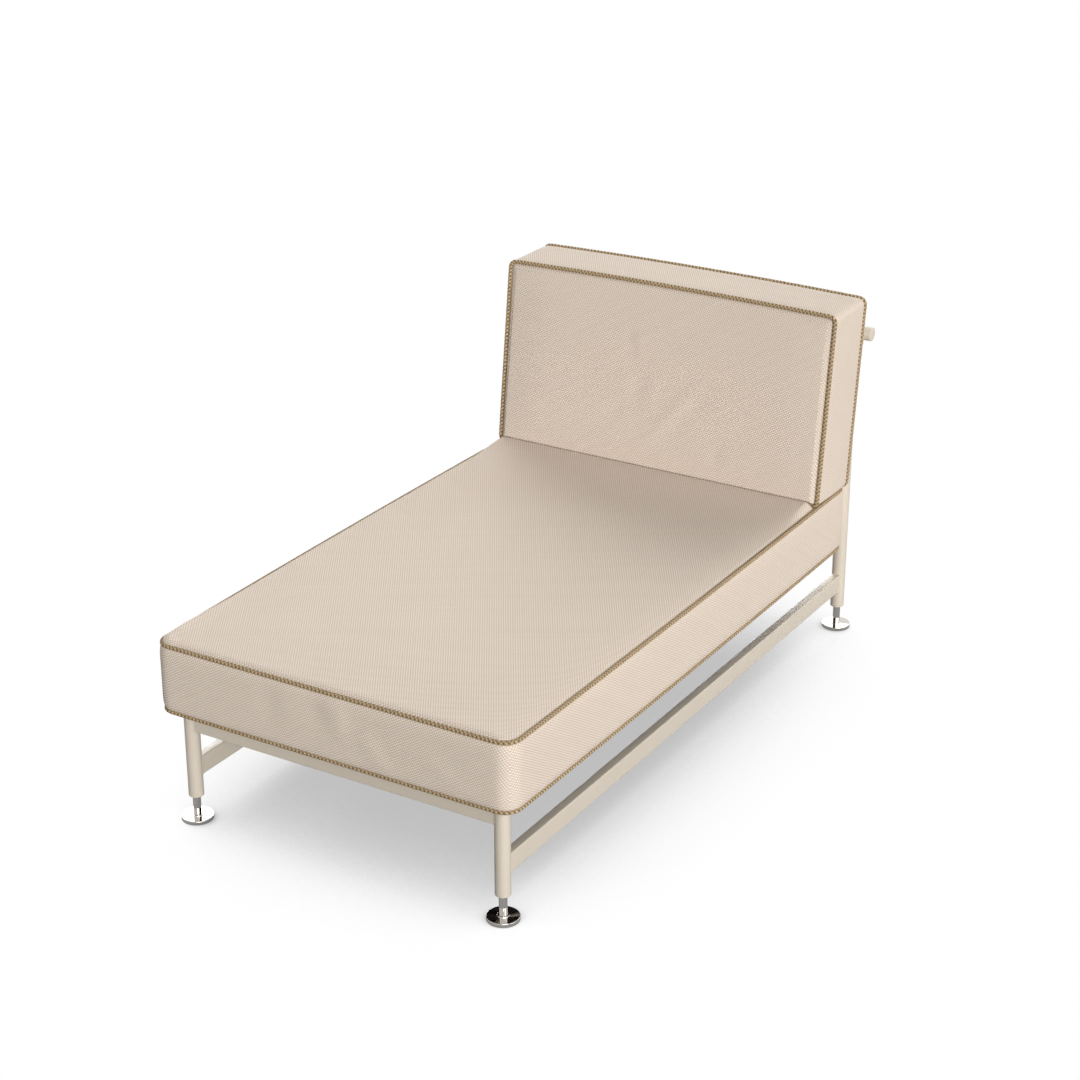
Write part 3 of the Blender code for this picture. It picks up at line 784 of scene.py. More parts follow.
class Trees(Library):
    """Geometry Nodes trees that repeat a shape or follow a path."""

    @staticmethod
    def _start(name: str, **inputs: Any) -> tuple[Graph, Any, Any]:
        """Starts a tree that takes a geometry and a material.

        Args:
            name: Name of the tree.
            inputs: Defaults of its other inputs.

        Returns:
            The tree's graph, the sockets of its inputs and the sockets of its outputs.
        """
        sockets = {"Geometry": "NodeSocketGeometry", **labelled(inputs), "Material": "NodeSocketMaterial"}
        return new_group(name, "GeometryNodeTree", sockets, ("Geometry",))

    @staticmethod
    def _close(g: Graph, given: Any, out: Any, geometry: Any) -> NodeTree:
        """Ends a tree with realised instances and its material.

        Args:
            g: The tree's graph.
            given: The sockets of its inputs.
            out: The sockets of its outputs.
            geometry: The geometry made so far.

        Returns:
            The tree.
        """
        real = g.add("GeometryNodeRealizeInstances", {0: geometry})
        wires = {"Geometry": real.outputs[0], "Material": given["Material"]}
        g.wire(out[0], g.add("GeometryNodeSetMaterial", wires).outputs[0])
        return g.tree

    @staticmethod
    def _twisted_cord() -> NodeTree:
        """Six strands laid helically round a closed path, in mixed tones.

        Returns:
            The tree.
        """
        tones = (0.90, 0.10, 0.40, 0.60, 0.40, 0.10)
        phase_step = 2.0 / len(tones)
        g, given, out = Trees._start("twisted_cord", strand_radius=0.0017, lay_radius=0.003, lead=0.019,
                                     step=0.0019, plane_normal=(0.0, 0.0, 1.0))
        path = g.evenly(given["Geometry"], given["Step"])
        share = g.add("GeometryNodeSplineParameter").outputs["Factor"]
        length = g.add("GeometryNodeSplineLength").outputs["Length"]
        turns = g.math("ROUND", g.math("DIVIDE", length, given["Lead"]))
        sweep = g.math("MULTIPLY", g.math("MULTIPLY", share, turns), math.tau)
        up = given["Plane Normal"]
        aside = g.vector("CROSS_PRODUCT", g.add("GeometryNodeInputTangent").outputs[0], up)
        ring = g.add("GeometryNodeCurvePrimitiveCircle", {"Resolution": 5, "Radius": given["Strand Radius"]},
                     mode="RADIUS").outputs[0]
        ring = g.stored(ring, "strand_turn", g.add("GeometryNodeSplineParameter").outputs["Factor"])
        join = g.add("GeometryNodeJoinGeometry")
        for k, tone in enumerate(tones):
            angle = g.math("ADD", sweep, math.tau * k / len(tones))
            offset = g.scaled(g.vector("ADD", g.scaled(aside, g.math("COSINE", angle)),
                                       g.scaled(up, g.math("SINE", angle))), given["Lay Radius"])
            strand = g.stored(path, "strand_run", g.math("MULTIPLY", share, length))
            strand = g.stored(strand, "strand_tone", tone)
            strand = g.stored(strand, "strand_phase", phase_step * k)
            laid = g.add("GeometryNodeSetPosition", {"Geometry": strand, "Offset": offset})
            swept = g.add("GeometryNodeCurveToMesh", {"Curve": laid.outputs[0], "Profile Curve": ring})
            g.wire(join.inputs[0], swept.outputs[0])
        smooth = g.add("GeometryNodeSetShadeSmooth", {"Geometry": join.outputs[0]})
        return Trees._close(g, given, out, smooth.outputs[0])

    @staticmethod
    def _weld_bead() -> NodeTree:
        """A rippled bead along each path.

        Returns:
            The tree.
        """
        ripple_change = 0.12
        g, given, out = Trees._start("weld_bead", bead_radius=0.0014, ripple=0.0028, step=0.0007)
        path = g.evenly(given["Geometry"], given["Step"])
        run = g.add("GeometryNodeSplineParameter").outputs["Length"]
        wave = g.math("SINE", g.math("MULTIPLY", g.math("DIVIDE", run, given["Ripple"]), math.tau))
        swell = g.math("MULTIPLY_ADD", wave, ripple_change, 1.0)
        sized = g.add("GeometryNodeSetCurveRadius", {"Curve": path, "Radius": swell})
        ring = g.add("GeometryNodeCurvePrimitiveCircle", {"Resolution": 10, "Radius": given["Bead Radius"]},
                     mode="RADIUS")
        wires = {"Curve": sized.outputs[0], "Profile Curve": ring.outputs[0]}
        swept = g.add("GeometryNodeCurveToMesh", wires)
        if "Scale" in swept.inputs:
            g.wire(swept.inputs["Scale"], g.add("GeometryNodeInputRadius").outputs[0])
        smooth = g.add("GeometryNodeSetShadeSmooth", {"Geometry": swept.outputs[0]})
        return Trees._close(g, given, out, smooth.outputs[0])

    @staticmethod
    def _row_of() -> NodeTree:
        """Copies of the given shape in one even row.

        Returns:
            The tree.
        """
        g, given, out = Trees._start("row_of", count=8, first=(0.0, 0.0, 0.0), offset=(0.0, 0.1, 0.0))
        line = g.add("GeometryNodeMeshLine", {"Count": given["Count"], "Start Location": given["First"],
                                              "Offset": given["Offset"]}, mode="OFFSET")
        wires = {"Points": line.outputs[0], "Instance": given["Geometry"]}
        copies = g.add("GeometryNodeInstanceOnPoints", wires)
        return Trees._close(g, given, out, copies.outputs[0])

    @staticmethod
    def _zip_chain() -> NodeTree:
        """Teeth in an even row along a path.

        Returns:
            The tree.
        """
        g, given, out = Trees._start("zip_chain", pitch=0.0016, tooth_size=(0.0010, 0.0012, 0.0034))
        path = g.evenly(given["Geometry"], given["Pitch"])
        places = g.add("GeometryNodeCurveToPoints", {"Curve": path}, mode="EVALUATED").outputs[0]
        tooth = g.add("GeometryNodeMeshIcoSphere", {"Radius": 0.5, "Subdivisions": 2})
        wires = {"Points": places, "Instance": tooth.outputs[0], "Scale": given["Tooth Size"]}
        copies = g.add("GeometryNodeInstanceOnPoints", wires)
        return Trees._close(g, given, out, copies.outputs[0])

    @staticmethod
    def run(name: str, source: Object, finish: Finish, **inputs: Any) -> Mesh:
        """Runs a tree on an object, removes the object and returns the plain mesh.

        Args:
            name: Name of the tree.
            source: Object that holds the path or the shape.
            finish: Finish of what it makes.
            inputs: Values of the tree's other inputs.

        Returns:
            The made mesh.
        """
        tree = Trees.get(name)
        values = {**labelled(inputs), "Material": Finishes.get(finish)}
        modifier = source.modifiers.new(name, "NODES")
        modifier.node_group = tree
        for item in tree.interface.items_tree:
            if item.in_out == "INPUT" and item.name in values:
                modifier[item.identifier] = values[item.name]
        return baked(source)


def path_object(name: str, paths: Sequence[tuple[Any, bool]]) -> Object:
    """Makes a curve object of straight-segment paths.

    Args:
        name: Name of the object.
        paths: Points of each path, and whether it closes.

    Returns:
        The curve object.
    """
    curve = bpy.data.curves.new(name, "CURVE")
    curve.dimensions = "3D"
    for points, closed in paths:
        spline = curve.splines.new("POLY")
        spline.points.add(len(points) - 1)
        for place, point in zip(points, spline.points):
            point.co = (*[float(v) for v in place], 1.0)
        spline.use_cyclic_u = closed
    return make_object(name, curve)


@dataclass
class SteelFrame:
    """The welded and powder-coated frame: two legs, two posts, four rails and the two bars of the back."""

    half_spacing: float = 0.350
    front: float = -0.7176
    rear: float = 0.7194
    radius: float = 0.015
    wall: float = 0.002
    rim: float = 0.0025
    foot_height: float = 0.0515
    leg_top: float = 0.236
    post_top: float = 0.720
    cap: float = 0.0023
    rail_half_width: float = 0.010
    rail_half_height: float = 0.020
    rail_corner: float = 0.003
    side_rail_height: float = 0.113
    cross_rail_height: float = 0.216
    bearer_half_spacing: float = 0.220
    bearer_half_height: float = 0.015
    bearer_height: float = 0.2177
    bar_fronts: tuple[float, float] = (0.6891, 0.7497)
    bar_height: float = 0.696
    bar_half_length: float = 0.3837
    bar_cap: float = 0.0023
    overlap: float = 0.0004
    edge: float = 0.0005
    cap_play: float = 0.0002
    cap_ease: float = 0.0003
    cap_rim: float = 0.55
    cap_shoulder: float = 0.72
    cap_taper: float = 0.985
    spigot: float = 0.012
    spigot_lead: tuple[float, float] = (0.0008, 0.001)
    bead: float = 0.0014
    bead_lift: float = 0.0002
    bar_bead_lift: float = 0.0001
    bar_bead_radius: float = 0.007
    steps: int = 72

    def build(self) -> None:
        """Builds every piece of the frame and settles it."""
        self.build_uprights()
        self.build_rails()
        self.build_bars()
        self.build_welds()

    def tube(self, length: float, lower_rim: float) -> Shell:
        """Makes a hollow tube up the Z axis from 0.

        Args:
            length: Length of the tube.
            lower_rim: Rounding of its lower outer edge.

        Returns:
            Points and faces.
        """
        bore = self.radius - self.wall
        inner = [(bore, length * k / 4.0) for k in range(4, 0, -1)]
        outer = rounded([(bore, 0.0, 0.0), (self.radius, 0.0, lower_rim), (self.radius, length, self.edge),
                         (bore, length, 0.0)], 6)[:-1]
        return revolve(inner + outer, self.steps, True)

    def cap_shell(self, thickness: float) -> Shell:
        """Makes a slightly domed plug cap on the Z axis, its rim from 0 up and its spigot below.

        Args:
            thickness: Height of the rim over the tube's end.

        Returns:
            Points and faces.
        """
        bore = self.radius - self.wall - self.cap_play
        crest, shoulder = self.radius * self.cap_taper, thickness * self.cap_shoulder
        dome = [(crest * math.cos(a), shoulder + (thickness - shoulder) * math.sin(a))
                for a in np.linspace(0.0, math.pi / 2, 9)[1:-1]]
        lead_in, lead_up = self.spigot_lead
        profile = [(0.0, -self.spigot), (bore - lead_in, -self.spigot), (bore, lead_up - self.spigot),
                   (bore, 0.0), (self.radius - self.cap_ease, 0.0), (self.radius, self.cap_ease),
                   (self.radius, thickness * self.cap_rim), (crest, shoulder), *dome, (0.0, thickness)]
        return revolve(profile, self.steps, False)

    def build_uprights(self) -> None:
        """Builds the front legs and the rear posts with their caps."""
        for side, sign in SIDES:
            for kind, y, top, cap_name in (("front_leg", self.front, self.leg_top, "leg_cap"),
                                           ("rear_post", self.rear, self.post_top, "post_cap")):
                x = sign * self.half_spacing
                points, faces = self.tube(top - self.foot_height, self.rim)
                node = f"{kind}_{side}"
                mesh = make_mesh(node, points + np.array([x, y, self.foot_height]), faces)
                settle(node + "_tube", mesh, [node], finish=Finishes.COAT)
                points, faces = self.cap_shell(self.cap)
                node = f"{cap_name}_{side}"
                mesh = make_mesh(node, points + np.array([x, y, top]), faces)
                settle(node + "_plug", mesh, [node], finish=Finishes.CAP)

    def section(self, half_height: float) -> Array:
        """Outline of a rail across and up, counter-clockwise."""
        centres, ways = box_corners(self.rail_half_width, half_height, self.rail_corner, 6)
        return centres + self.rail_corner * ways

    def cope(self, across: Array, deeper: float) -> Array:
        """Distance from a tube's axis to a rail's end that goes so much deeper than the tube's surface."""
        return np.sqrt((self.radius - deeper) ** 2 - across ** 2)

    def rail(self, node: str, half_height: float, centre: Point, along: str, ends: tuple[float, float],
             coped: bool) -> None:
        """Builds a rail between two tube axes, or between two flat faces.

        Args:
            node: Solid that it stands for.
            half_height: Half of its height.
            centre: A point on its centre line.
            along: Axis that it follows, "x" or "y".
            ends: Coordinates of the tube axes or faces that it runs between.
            coped: True where its ends are cut to fit the tubes.
        """
        outline = self.section(half_height)
        across, up = outline.T
        reach = self.cope(across, self.overlap) if coped else np.full(len(outline), -self.overlap)
        cut = self.rail_corner * 1.5
        rings = []
        for row in (ends[0] + reach, ends[0] + reach + cut, ends[1] - reach - cut, ends[1] - reach):
            column = {"x": (row, centre[1] + across), "y": (centre[0] + across, row)}[along]
            rings.append(np.stack([*column, centre[2] + up], axis=1))
        points, faces = banded(rings)
        if along == "y":
            faces = [f[::-1] for f in faces]
        settle(node + "_box", make_mesh(node, points, faces), [node], finish=Finishes.COAT)

    def build_rails(self) -> None:
        """Builds the side rails, the cross rails and the two bearers of the deck."""
        ends = (self.front, self.rear)
        face = (self.front + self.rail_half_width, self.rear - self.rail_half_width)
        for side, sign in SIDES:
            self.rail(f"side_rail_{side}", self.rail_half_height,
                      (sign * self.half_spacing, 0.0, self.side_rail_height), "y", ends, True)
            self.rail(f"deck_bearer_{side}", self.bearer_half_height,
                      (sign * self.bearer_half_spacing, 0.0, self.bearer_height), "y", face, False)
        for place, y in zip(("front", "rear"), ends):
            self.rail(f"{place}_cross_rail", self.rail_half_height, (0.0, y, self.cross_rail_height), "x",
                      (-self.half_spacing, self.half_spacing), True)

    def build_bars(self) -> None:
        """Builds the two bars behind the back cushion with their end caps."""
        for place, y in zip(("front", "rear"), self.bar_fronts):
            points, faces = self.tube(2.0 * self.bar_half_length, self.edge)
            points = aimed(points, (-self.bar_half_length, y, self.bar_height), (1.0, 0.0, 0.0))
            node = f"back_bar_{place}"
            mesh = make_mesh(node, points, faces)
            settle(node + "_tube", mesh, [node], finish=Finishes.COAT)
            for side, sign in SIDES:
                points, faces = self.cap_shell(self.bar_cap)
                points = aimed(points, (sign * self.bar_half_length, y, self.bar_height), (sign, 0.0, 0.0))
                node = f"back_bar_cap_{place}_{side}"
                mesh = make_mesh(node, points, faces)
                settle(node + "_plug", mesh, [node], finish=Finishes.CAP)

    def weld_paths(self) -> list[tuple[Array, bool]]:
        """Paths of the weld beads round each joint.

        Returns:
            Points of each path, and whether it closes.
        """
        across, up = self.section(self.rail_half_height).T
        reach = self.cope(across, -self.bead_lift)
        turns = np.linspace(0.0, math.tau, 33)[:-1]
        paths = []
        for _, sign in SIDES:
            x = sign * self.half_spacing
            for y, way in ((self.front, 1.0), (self.rear, -1.0)):
                side = np.stack([x + across, y + way * reach, self.side_rail_height + up], axis=1)
                cross = np.stack([x - sign * reach, y + across, self.cross_rail_height + up], axis=1)
                paths += [(side, True), (cross, True)]
            for bar, way in zip(self.bar_fronts, (1.0, -1.0)):
                y = np.full(len(turns), bar + way * (self.radius + self.bar_bead_lift))
                ring = np.stack([x + self.bar_bead_radius * np.cos(turns), y,
                                 self.bar_height + self.bar_bead_radius * np.sin(turns)], axis=1)
                paths.append((ring, True))
        return paths

    def build_welds(self) -> None:
        """Builds the beads that join the rails and bars to the tubes."""
        line = path_object("weld_path", self.weld_paths())
        mesh = Trees.run("weld_bead", line, Finishes.COAT, bead_radius=self.bead)
        settle("frame_weld_beads", mesh)


@dataclass
class SlatDeck:
    """The plywood slats under the mattress, darkened as painted shade, and the screws that hold them to the
    bearers.
    """

    count: int = 8
    half_length: float = 0.340
    half_width: float = 0.040
    low: float = 0.233
    thickness: float = 0.008
    first: float = -0.6476
    last: float = 0.5794
    corner: float = 0.012
    edge: float = 0.0015
    screw_radius: float = 0.0045
    screw_height: float = 0.0026
    bearer_under: float = 0.2027
    bearer_half_spacing: float = 0.220

    def screw(self) -> Shell:
        """Makes one pan-head screw that points down from the origin, with a hollow in its head.

        Returns:
            Points and faces.
        """
        r, h = self.screw_radius, self.screw_height
        profile = [(0.0, -h * 0.45), (r * 0.36, -h * 0.5), (r * 0.42, -h), (r * 0.8, -h * 0.85),
                   (r, -h * 0.35), (r, 0.0), (0.0, 0.0)]
        return revolve(profile, 10, False)

    def row(self, name: str, shell: Shell, low: float, finish: Finish, slot: str,
            nodes: Sequence[str]) -> None:
        """Repeats a shape once for each slat.

        Args:
            name: Name of the piece.
            shell: Points and faces of the shape.
            low: Height that its origin goes to.
            finish: Its finish.
            slot: Material slot of the record. Not used.
            nodes: Solids that it stands for.
        """
        pitch = (self.last - self.first) / (self.count - 1)
        source = make_object(name + "_shape", make_mesh(name + "_shape", *shell))
        mesh = Trees.run("row_of", source, finish, count=self.count, first=(0.0, self.first, low),
                         offset=(0.0, pitch, 0.0))
        settle(name, mesh, nodes)

    def build(self) -> None:
        """Builds the slats and the screws, each as one row."""
        slat = plate(self.half_length, self.half_width, self.thickness, self.corner, self.edge)
        # The slats' dark plywood tone is painted shade.
        self.row("deck_slats", slat, self.low, Finishes.PLY, "plywood",
                 [f"deck_slat_{k + 1}" for k in range(self.count)])
        points, faces = self.screw()
        pair = joined([(points + np.array([sign * self.bearer_half_spacing, 0.0, 0.0]), faces)
                       for _, sign in SIDES])
        self.row("deck_screws", pair, self.bearer_under, Finishes.ZINC, "insert_metal", [])


@dataclass
class LevellingFoot:
    """One chromed foot: a stem in a plated insert, a swivelling disc and a rubber pad."""

    place: str
    x: float
    y: float
    stem_radius: float = 0.008
    disc_radius: float = 0.0315
    disc_low: float = 0.0023
    disc_top: float = 0.0084
    collar_radius: float = 0.01125
    collar_top: float = 0.0093
    skirt_low: float = 0.0006
    skirt_radius: float = 0.0296
    stem_low: float = 0.0096
    stem_top: float = 0.0975
    pivot_radius: float = 0.005
    pad_radius: float = 0.029
    pad_top: float = 0.002
    insert_low: float = 0.0525
    insert_top: float = 0.0785
    insert_radius: float = 0.0127
    head_height: float = 0.0016
    play: float = 0.0003
    steps: int = 96

    def shell(self, what: str, corners: Sequence[tuple[float, float, float]], steps: int, finish: Finish,
              body: str, slot: str) -> None:
        """Turns a profile into a piece of this foot.

        Args:
            what: What the piece is, for its name and its solid's name.
            corners: (radius, height, rounding) of each corner. It is a loop where it starts off the axis.
            steps: Segments in each rounding.
            finish: Its finish.
            body: Body that it moves with.
            slot: Material slot of the record. Not used.
        """
        points, faces = revolve(rounded(corners, steps), self.steps, corners[0][0] > 0.0)
        mesh = make_mesh(what, points + np.array([self.x, self.y, 0.0]), faces)
        settle(f"foot_{self.place}_{what}", mesh, [f"foot_{what}_{self.place}"], body, finish)

    def build(self) -> None:
        """Builds the stem, disc, pad and insert and settles them on their bodies."""
        head, ledge = self.stem_radius, self.disc_low + self.head_height
        self.shell("stem", [
            (0.0, self.disc_low, 0.0), (head, self.disc_low, 0.0002), (head, ledge, 0.0),
            (self.pivot_radius, ledge, 0.0), (self.pivot_radius, self.stem_low, 0.0),
            (self.stem_radius, self.stem_low, 0.0008), (self.stem_radius, self.stem_top, 0.001),
            (0.0, self.stem_top, 0.0)], 5, Finishes.CHROME, f"stem_{self.place}", "chrome")
        bore, sink = self.pivot_radius + self.play, self.stem_radius + self.play
        self.shell("disc", [
            (sink, self.disc_low, 0.0), (self.skirt_radius, self.disc_low, 0.0),
            (self.skirt_radius, self.skirt_low, 0.0003), (self.disc_radius, self.skirt_low, 0.0008),
            (self.disc_radius, self.disc_top, 0.0010), (self.collar_radius, self.disc_top, 0.0002),
            (self.collar_radius, self.collar_top, 0.0003), (bore, self.collar_top, 0.0),
            (bore, ledge + self.play, 0.0), (sink, ledge + self.play, 0.0)],
            5, Finishes.CHROME, f"disc_{self.place}", "chrome")
        self.shell("pad", [
            (0.0, 0.0, 0.0), (self.pad_radius, 0.0, 0.0006), (self.pad_radius, self.pad_top, 0.0002),
            (0.0, self.pad_top, 0.0)], 3, Finishes.RUBBER, f"disc_{self.place}", "glide")
        self.shell("insert", [
            (sink, self.insert_low, 0.0), (self.insert_radius, self.insert_low, 0.0006),
            (self.insert_radius, self.insert_top, 0.0006), (sink, self.insert_top, 0.0)],
            3, Finishes.ZINC, FRAME_BODY, "insert_metal")


class Side(Enum):
    """The four walls of a boxed cushion, in the order of its outline."""

    LOW = 0
    RIGHT = 1
    HIGH = 2
    LEFT = 3


class Panel(Enum):
    """The two panels of a boxed cushion."""

    UNDER = 0
    OVER = 1


@dataclass(frozen=True)
class Wrinkle:
    """One soft fold in the cloth of a panel or of the low wall."""

    where: Any
    centre: tuple[float, float]
    angle_degrees: float
    length: float
    width: float
    height: float


@dataclass(frozen=True)
class Face:
    """How one panel of a cushion is filled: its steep roll at the seam and its slow crown."""

    roll: float
    crown: float
    reach: float
    roll_high: Optional[float] = None
    roll_right: Optional[float] = None
    right_from: float = 0.94

    def rolled(self, share: Array, across: Array) -> Array:
        """Height of the roll.

        Args:
            share: Share of the way from the low side to the high side.
            across: Share of the way from the left side to the right side.

        Returns:
            The height at each place, in metres.
        """
        last = self.roll if self.roll_high is None else self.roll_high
        made = self.roll + (last - self.roll) * np.clip(share, 0.0, 1.0)
        if self.roll_right is None:
            return made
        return made + (self.roll_right - made) * eased((across - self.right_from) / (1.0 - self.right_from))


@dataclass
class BoxCushion:
    """A boxed cushion: two panels and a wall band between two corded seams."""

    CLOTH_SETTINGS = {"quality": 5, "mass": 0.3, "tension_stiffness": 25.0, "compression_stiffness": 25.0,
                      "shear_stiffness": 8.0, "bending_stiffness": 0.8, "use_pressure": True,
                      "uniform_pressure_force": 4.0, "vertex_group_mass": "held", "pin_stiffness": 1.0}
    LAST_FRAME = 20
    LEAST_HOLD = 0.02

    name: str
    left: float
    right: float
    low: float
    high: float
    under: float
    over: float
    corners: tuple[float, float, float, float]
    bows: dict[Side, float]
    bulges: dict[Side, float]
    faces: dict[Panel, Face]
    place: Placing
    wrinkles: Sequence[Wrinkle] = ()
    fine_lines: Sequence[float] = ()
    tuck: float = 0.0025
    groove: float = 0.0
    roll_reach: float = 0.008
    roll_power: float = 2.6
    wall_power: float = 4.0
    grid: float = 0.017
    arc_steps: int = 4
    wall_rows: int = 15
    swell_cap: float = 0.005
    slack: float = 0.0042
    seam_hold: float = 0.020
    seam_reach: float = 0.050
    blur: float = 0.0005
    # True to give the under panel the near-black cloth, as painted shade.
    shade_dark_under: bool = False
    rings: Sequence[float] = (0.0, 0.05, 0.14, 0.28, 0.45, 0.68, 1.0)
    held_zones: list[PointRule] = field(default_factory=list)
    limits: list[PointRule] = field(default_factory=list)

    def across_lines(self) -> Array:
        """Shares of the low and high sides' straight stretch where grid lines start."""
        steps = max(4, round((self.right + self.left - 2.0 * self.corners[0]) / self.grid))
        return np.linspace(0.0, 1.0, steps + 1)

    def along_lines(self) -> Array:
        """Shares of the left and right sides' straight stretch where grid lines start, denser where asked."""
        start, end = self.low + self.corners[0], self.high - self.corners[2]
        even = np.linspace(start, end, max(4, round((end - start) / self.grid)) + 1)
        spare = [v for v in even[1:-1] if all(abs(v - fine) > 0.5 * self.grid for fine in self.fine_lines)]
        return (np.array(sorted([start, end, *spare, *self.fine_lines])) - start) / (end - start)

    def side_counts(self) -> tuple[int, int]:
        """Segments along the low or high side, and along the left or right side."""
        turns = 2 * self.arc_steps - 1
        return len(self.across_lines()) + turns, len(self.along_lines()) + turns

    def outline(self) -> tuple[Array, Array]:
        """Closed line of the seam, counter-clockwise from the middle of the low left corner.

        Returns:
            The points, and the outward normal at each.
        """
        m = self.arc_steps
        ends = ((-self.left, self.low), (self.right, self.low), (self.right, self.high),
                (-self.left, self.high))
        inward = ((1.0, 1.0), (-1.0, 1.0), (-1.0, -1.0), (1.0, -1.0))
        centres = [np.array(end) + r * np.array(way) for end, way, r in zip(ends, inward, self.corners)]
        across, along = self.across_lines(), self.along_lines()
        shares = {Side.LOW: across, Side.RIGHT: along, Side.HIGH: across, Side.LEFT: 1.0 - along[::-1]}
        points: list[Array] = []
        for side in Side:
            k, j = side.value, (side.value + 1) % 4
            facing = math.radians(-90.0 + 90.0 * k)
            normal = np.array([math.cos(facing), math.sin(facing)])
            first = centres[k] + self.corners[k] * normal
            second = centres[j] + self.corners[j] * normal
            for i in range(m):
                a = facing - math.pi / 4 * (1.0 - i / m)
                points.append(centres[k] + self.corners[k] * np.array([math.cos(a), math.sin(a)]))
            points += [first + (second - first) * share for share in shares[side][:-1]]
            for i in range(m):
                a = facing + math.pi / 4 * i / m
                points.append(centres[j] + self.corners[j] * np.array([math.cos(a), math.sin(a)]))
        flat = np.array(points)
        middle = np.array([(self.right - self.left) / 2.0, (self.low + self.high) / 2.0])
        half = np.array([(self.right + self.left) / 2.0, (self.high - self.low) / 2.0])
        t = (flat - middle) / half
        bow_u = np.where(t[:, 0] > 0, self.bows.get(Side.RIGHT, 0.0), self.bows.get(Side.LEFT, 0.0))
        bow_v = np.where(t[:, 1] > 0, self.bows.get(Side.HIGH, 0.0), self.bows.get(Side.LOW, 0.0))
        flat[:, 0] += np.sign(t[:, 0]) * bow_u * (1.0 - t[:, 1] ** 2) * np.abs(t[:, 0]) ** 6
        flat[:, 1] += np.sign(t[:, 1]) * bow_v * (1.0 - t[:, 0] ** 2) * np.abs(t[:, 1]) ** 6
        run = np.roll(flat, -1, axis=0) - np.roll(flat, 1, axis=0)
        run /= np.linalg.norm(run, axis=1, keepdims=True)
        return flat, np.stack([run[:, 1], -run[:, 0]], axis=1)

    def crown(self, flat: Array, face: Face) -> Array:
        """Height of a panel's slow crown.

        Args:
            flat: Places on the panel.
            face: The panel's filling.

        Returns:
            The height at each place.
        """
        gap_u = np.minimum(flat[:, 0] + self.left, self.right - flat[:, 0])
        gap_v = np.minimum(flat[:, 1] - self.low, self.high - flat[:, 1])
        share_u = 1.0 - (1.0 - np.clip(gap_u / face.reach, 0.0, 1.0)) ** 2
        share_v = 1.0 - (1.0 - np.clip(gap_v / face.reach, 0.0, 1.0)) ** 2
        return face.crown * share_u * share_v

    def core(self, ring: Array) -> Array:
        """Fills a closed ring with a grid whose lines run straight across it.

        Args:
            ring: Points of the ring, in the outline's order.

        Returns:
            The grid, by column and row.
        """
        n, m = self.side_counts()
        turn = self.arc_steps
        low, right = ring[:n + 1], ring[n:n + m + 1]
        high = ring[n + m:2 * n + m + 1][::-1]
        left = np.concatenate([ring[2 * n + m:], ring[:1]])[::-1]
        share_low = (low[:, 0] - low[0, 0]) / (low[-1, 0] - low[0, 0])
        share_high = (high[:, 0] - high[0, 0]) / (high[-1, 0] - high[0, 0])
        rise = (left[:, 1] - left[0, 1]) / (left[-1, 1] - left[0, 1])
        share = share_low[:, None] * (1.0 - rise) + share_high[:, None] * rise
        grid = np.zeros((n + 1, m + 1, 2))
        grid[..., 0] = left[:, 0] + (right[:, 0] - left[:, 0]) * share
        grid[..., 1] = left[:, 1]
        near = (left[:turn + 1, 1] - left[0, 1]) / (left[turn, 1] - left[0, 1])
        grid[:, :turn + 1, 1] = low[:, 1:] + (left[turn, 1] - low[:, 1:]) * near
        far = (left[m - turn:, 1] - left[m - turn, 1]) / (left[m, 1] - left[m - turn, 1])
        grid[:, m - turn:, 1] = left[m - turn, 1] + (high[:, 1:] - left[m - turn, 1]) * far
        return grid

    def shape(self) -> "CushionMesh":
        """Builds the cushion's points, faces and weave coordinates.

        Returns:
            The mesh data.
        """
        flat, normal = self.outline()
        count = len(flat)
        made = CushionMesh()
        wall_share = np.sin(np.linspace(-1.0, 1.0, self.wall_rows) * math.pi / 2)
        steps = np.linalg.norm(np.roll(flat, -1, axis=0) - flat, axis=1)
        run = np.concatenate([[0.0], np.cumsum(steps)])
        n, m = self.side_counts()
        starts = [0, n, n + m, 2 * n + m, count]
        bulge = np.zeros(count)
        weight = np.zeros(count)
        for side in Side:
            a, b = starts[side.value], starts[side.value + 1]
            t = np.linspace(-1.0, 1.0, b - a + 1)
            fade = np.clip((1.0 - np.abs(t)) * (b - a) / 10.0, 0.0, 1.0) * 0.7 + 0.3
            for i in range(a, b + 1):
                bulge[i % count] += fade[i - a] * self.bulges[side]
                weight[i % count] += fade[i - a]
        bulge /= weight
        middle, half = (self.under + self.over) / 2.0, (self.over - self.under) / 2.0 - self.tuck
        rows = []
        for t in wall_share:
            fill = (1.0 - abs(t) ** self.wall_power) ** (1.0 / self.wall_power)
            out = -self.tuck + (self.tuck + bulge) * fill
            place = flat + normal * out[:, None]
            rows.append(made.add(place, np.full(count, middle + half * t)))
        made.seams = [rows[0], rows[-1]]
        half_way = rows[self.wall_rows // 2]
        made.middle = {side: half_way[starts[side.value]:starts[side.value + 1]] for side in Side}
        turn, offset = 1.0, 0.0
        for side in Side:
            a, b = starts[side.value], starts[side.value + 1]
            offset = offset if side is Side.LOW else offset + 2.0 * (-turn) * run[a]
            for r in range(self.wall_rows - 1):
                for i in range(a, b):
                    j = (i + 1) % count
                    face = [rows[r][i], rows[r][j], rows[r + 1][j], rows[r + 1][i]]
                    heights = [middle + half * wall_share[r], middle + half * wall_share[r + 1]]
                    across = [turn * run[i] + offset, turn * run[i + 1] + offset]
                    made.face(face, [(across[0], heights[0]), (across[1], heights[0]),
                                     (across[1], heights[1]), (across[0], heights[1])], 0, side)
            turn = -turn
        for panel, seam, sign in ((Panel.UNDER, rows[0], -1.0), (Panel.OVER, rows[-1], 1.0)):
            self.add_panel(made, panel, seam, sign, flat - normal * self.tuck, normal)
        made.finish(self.place)
        return made

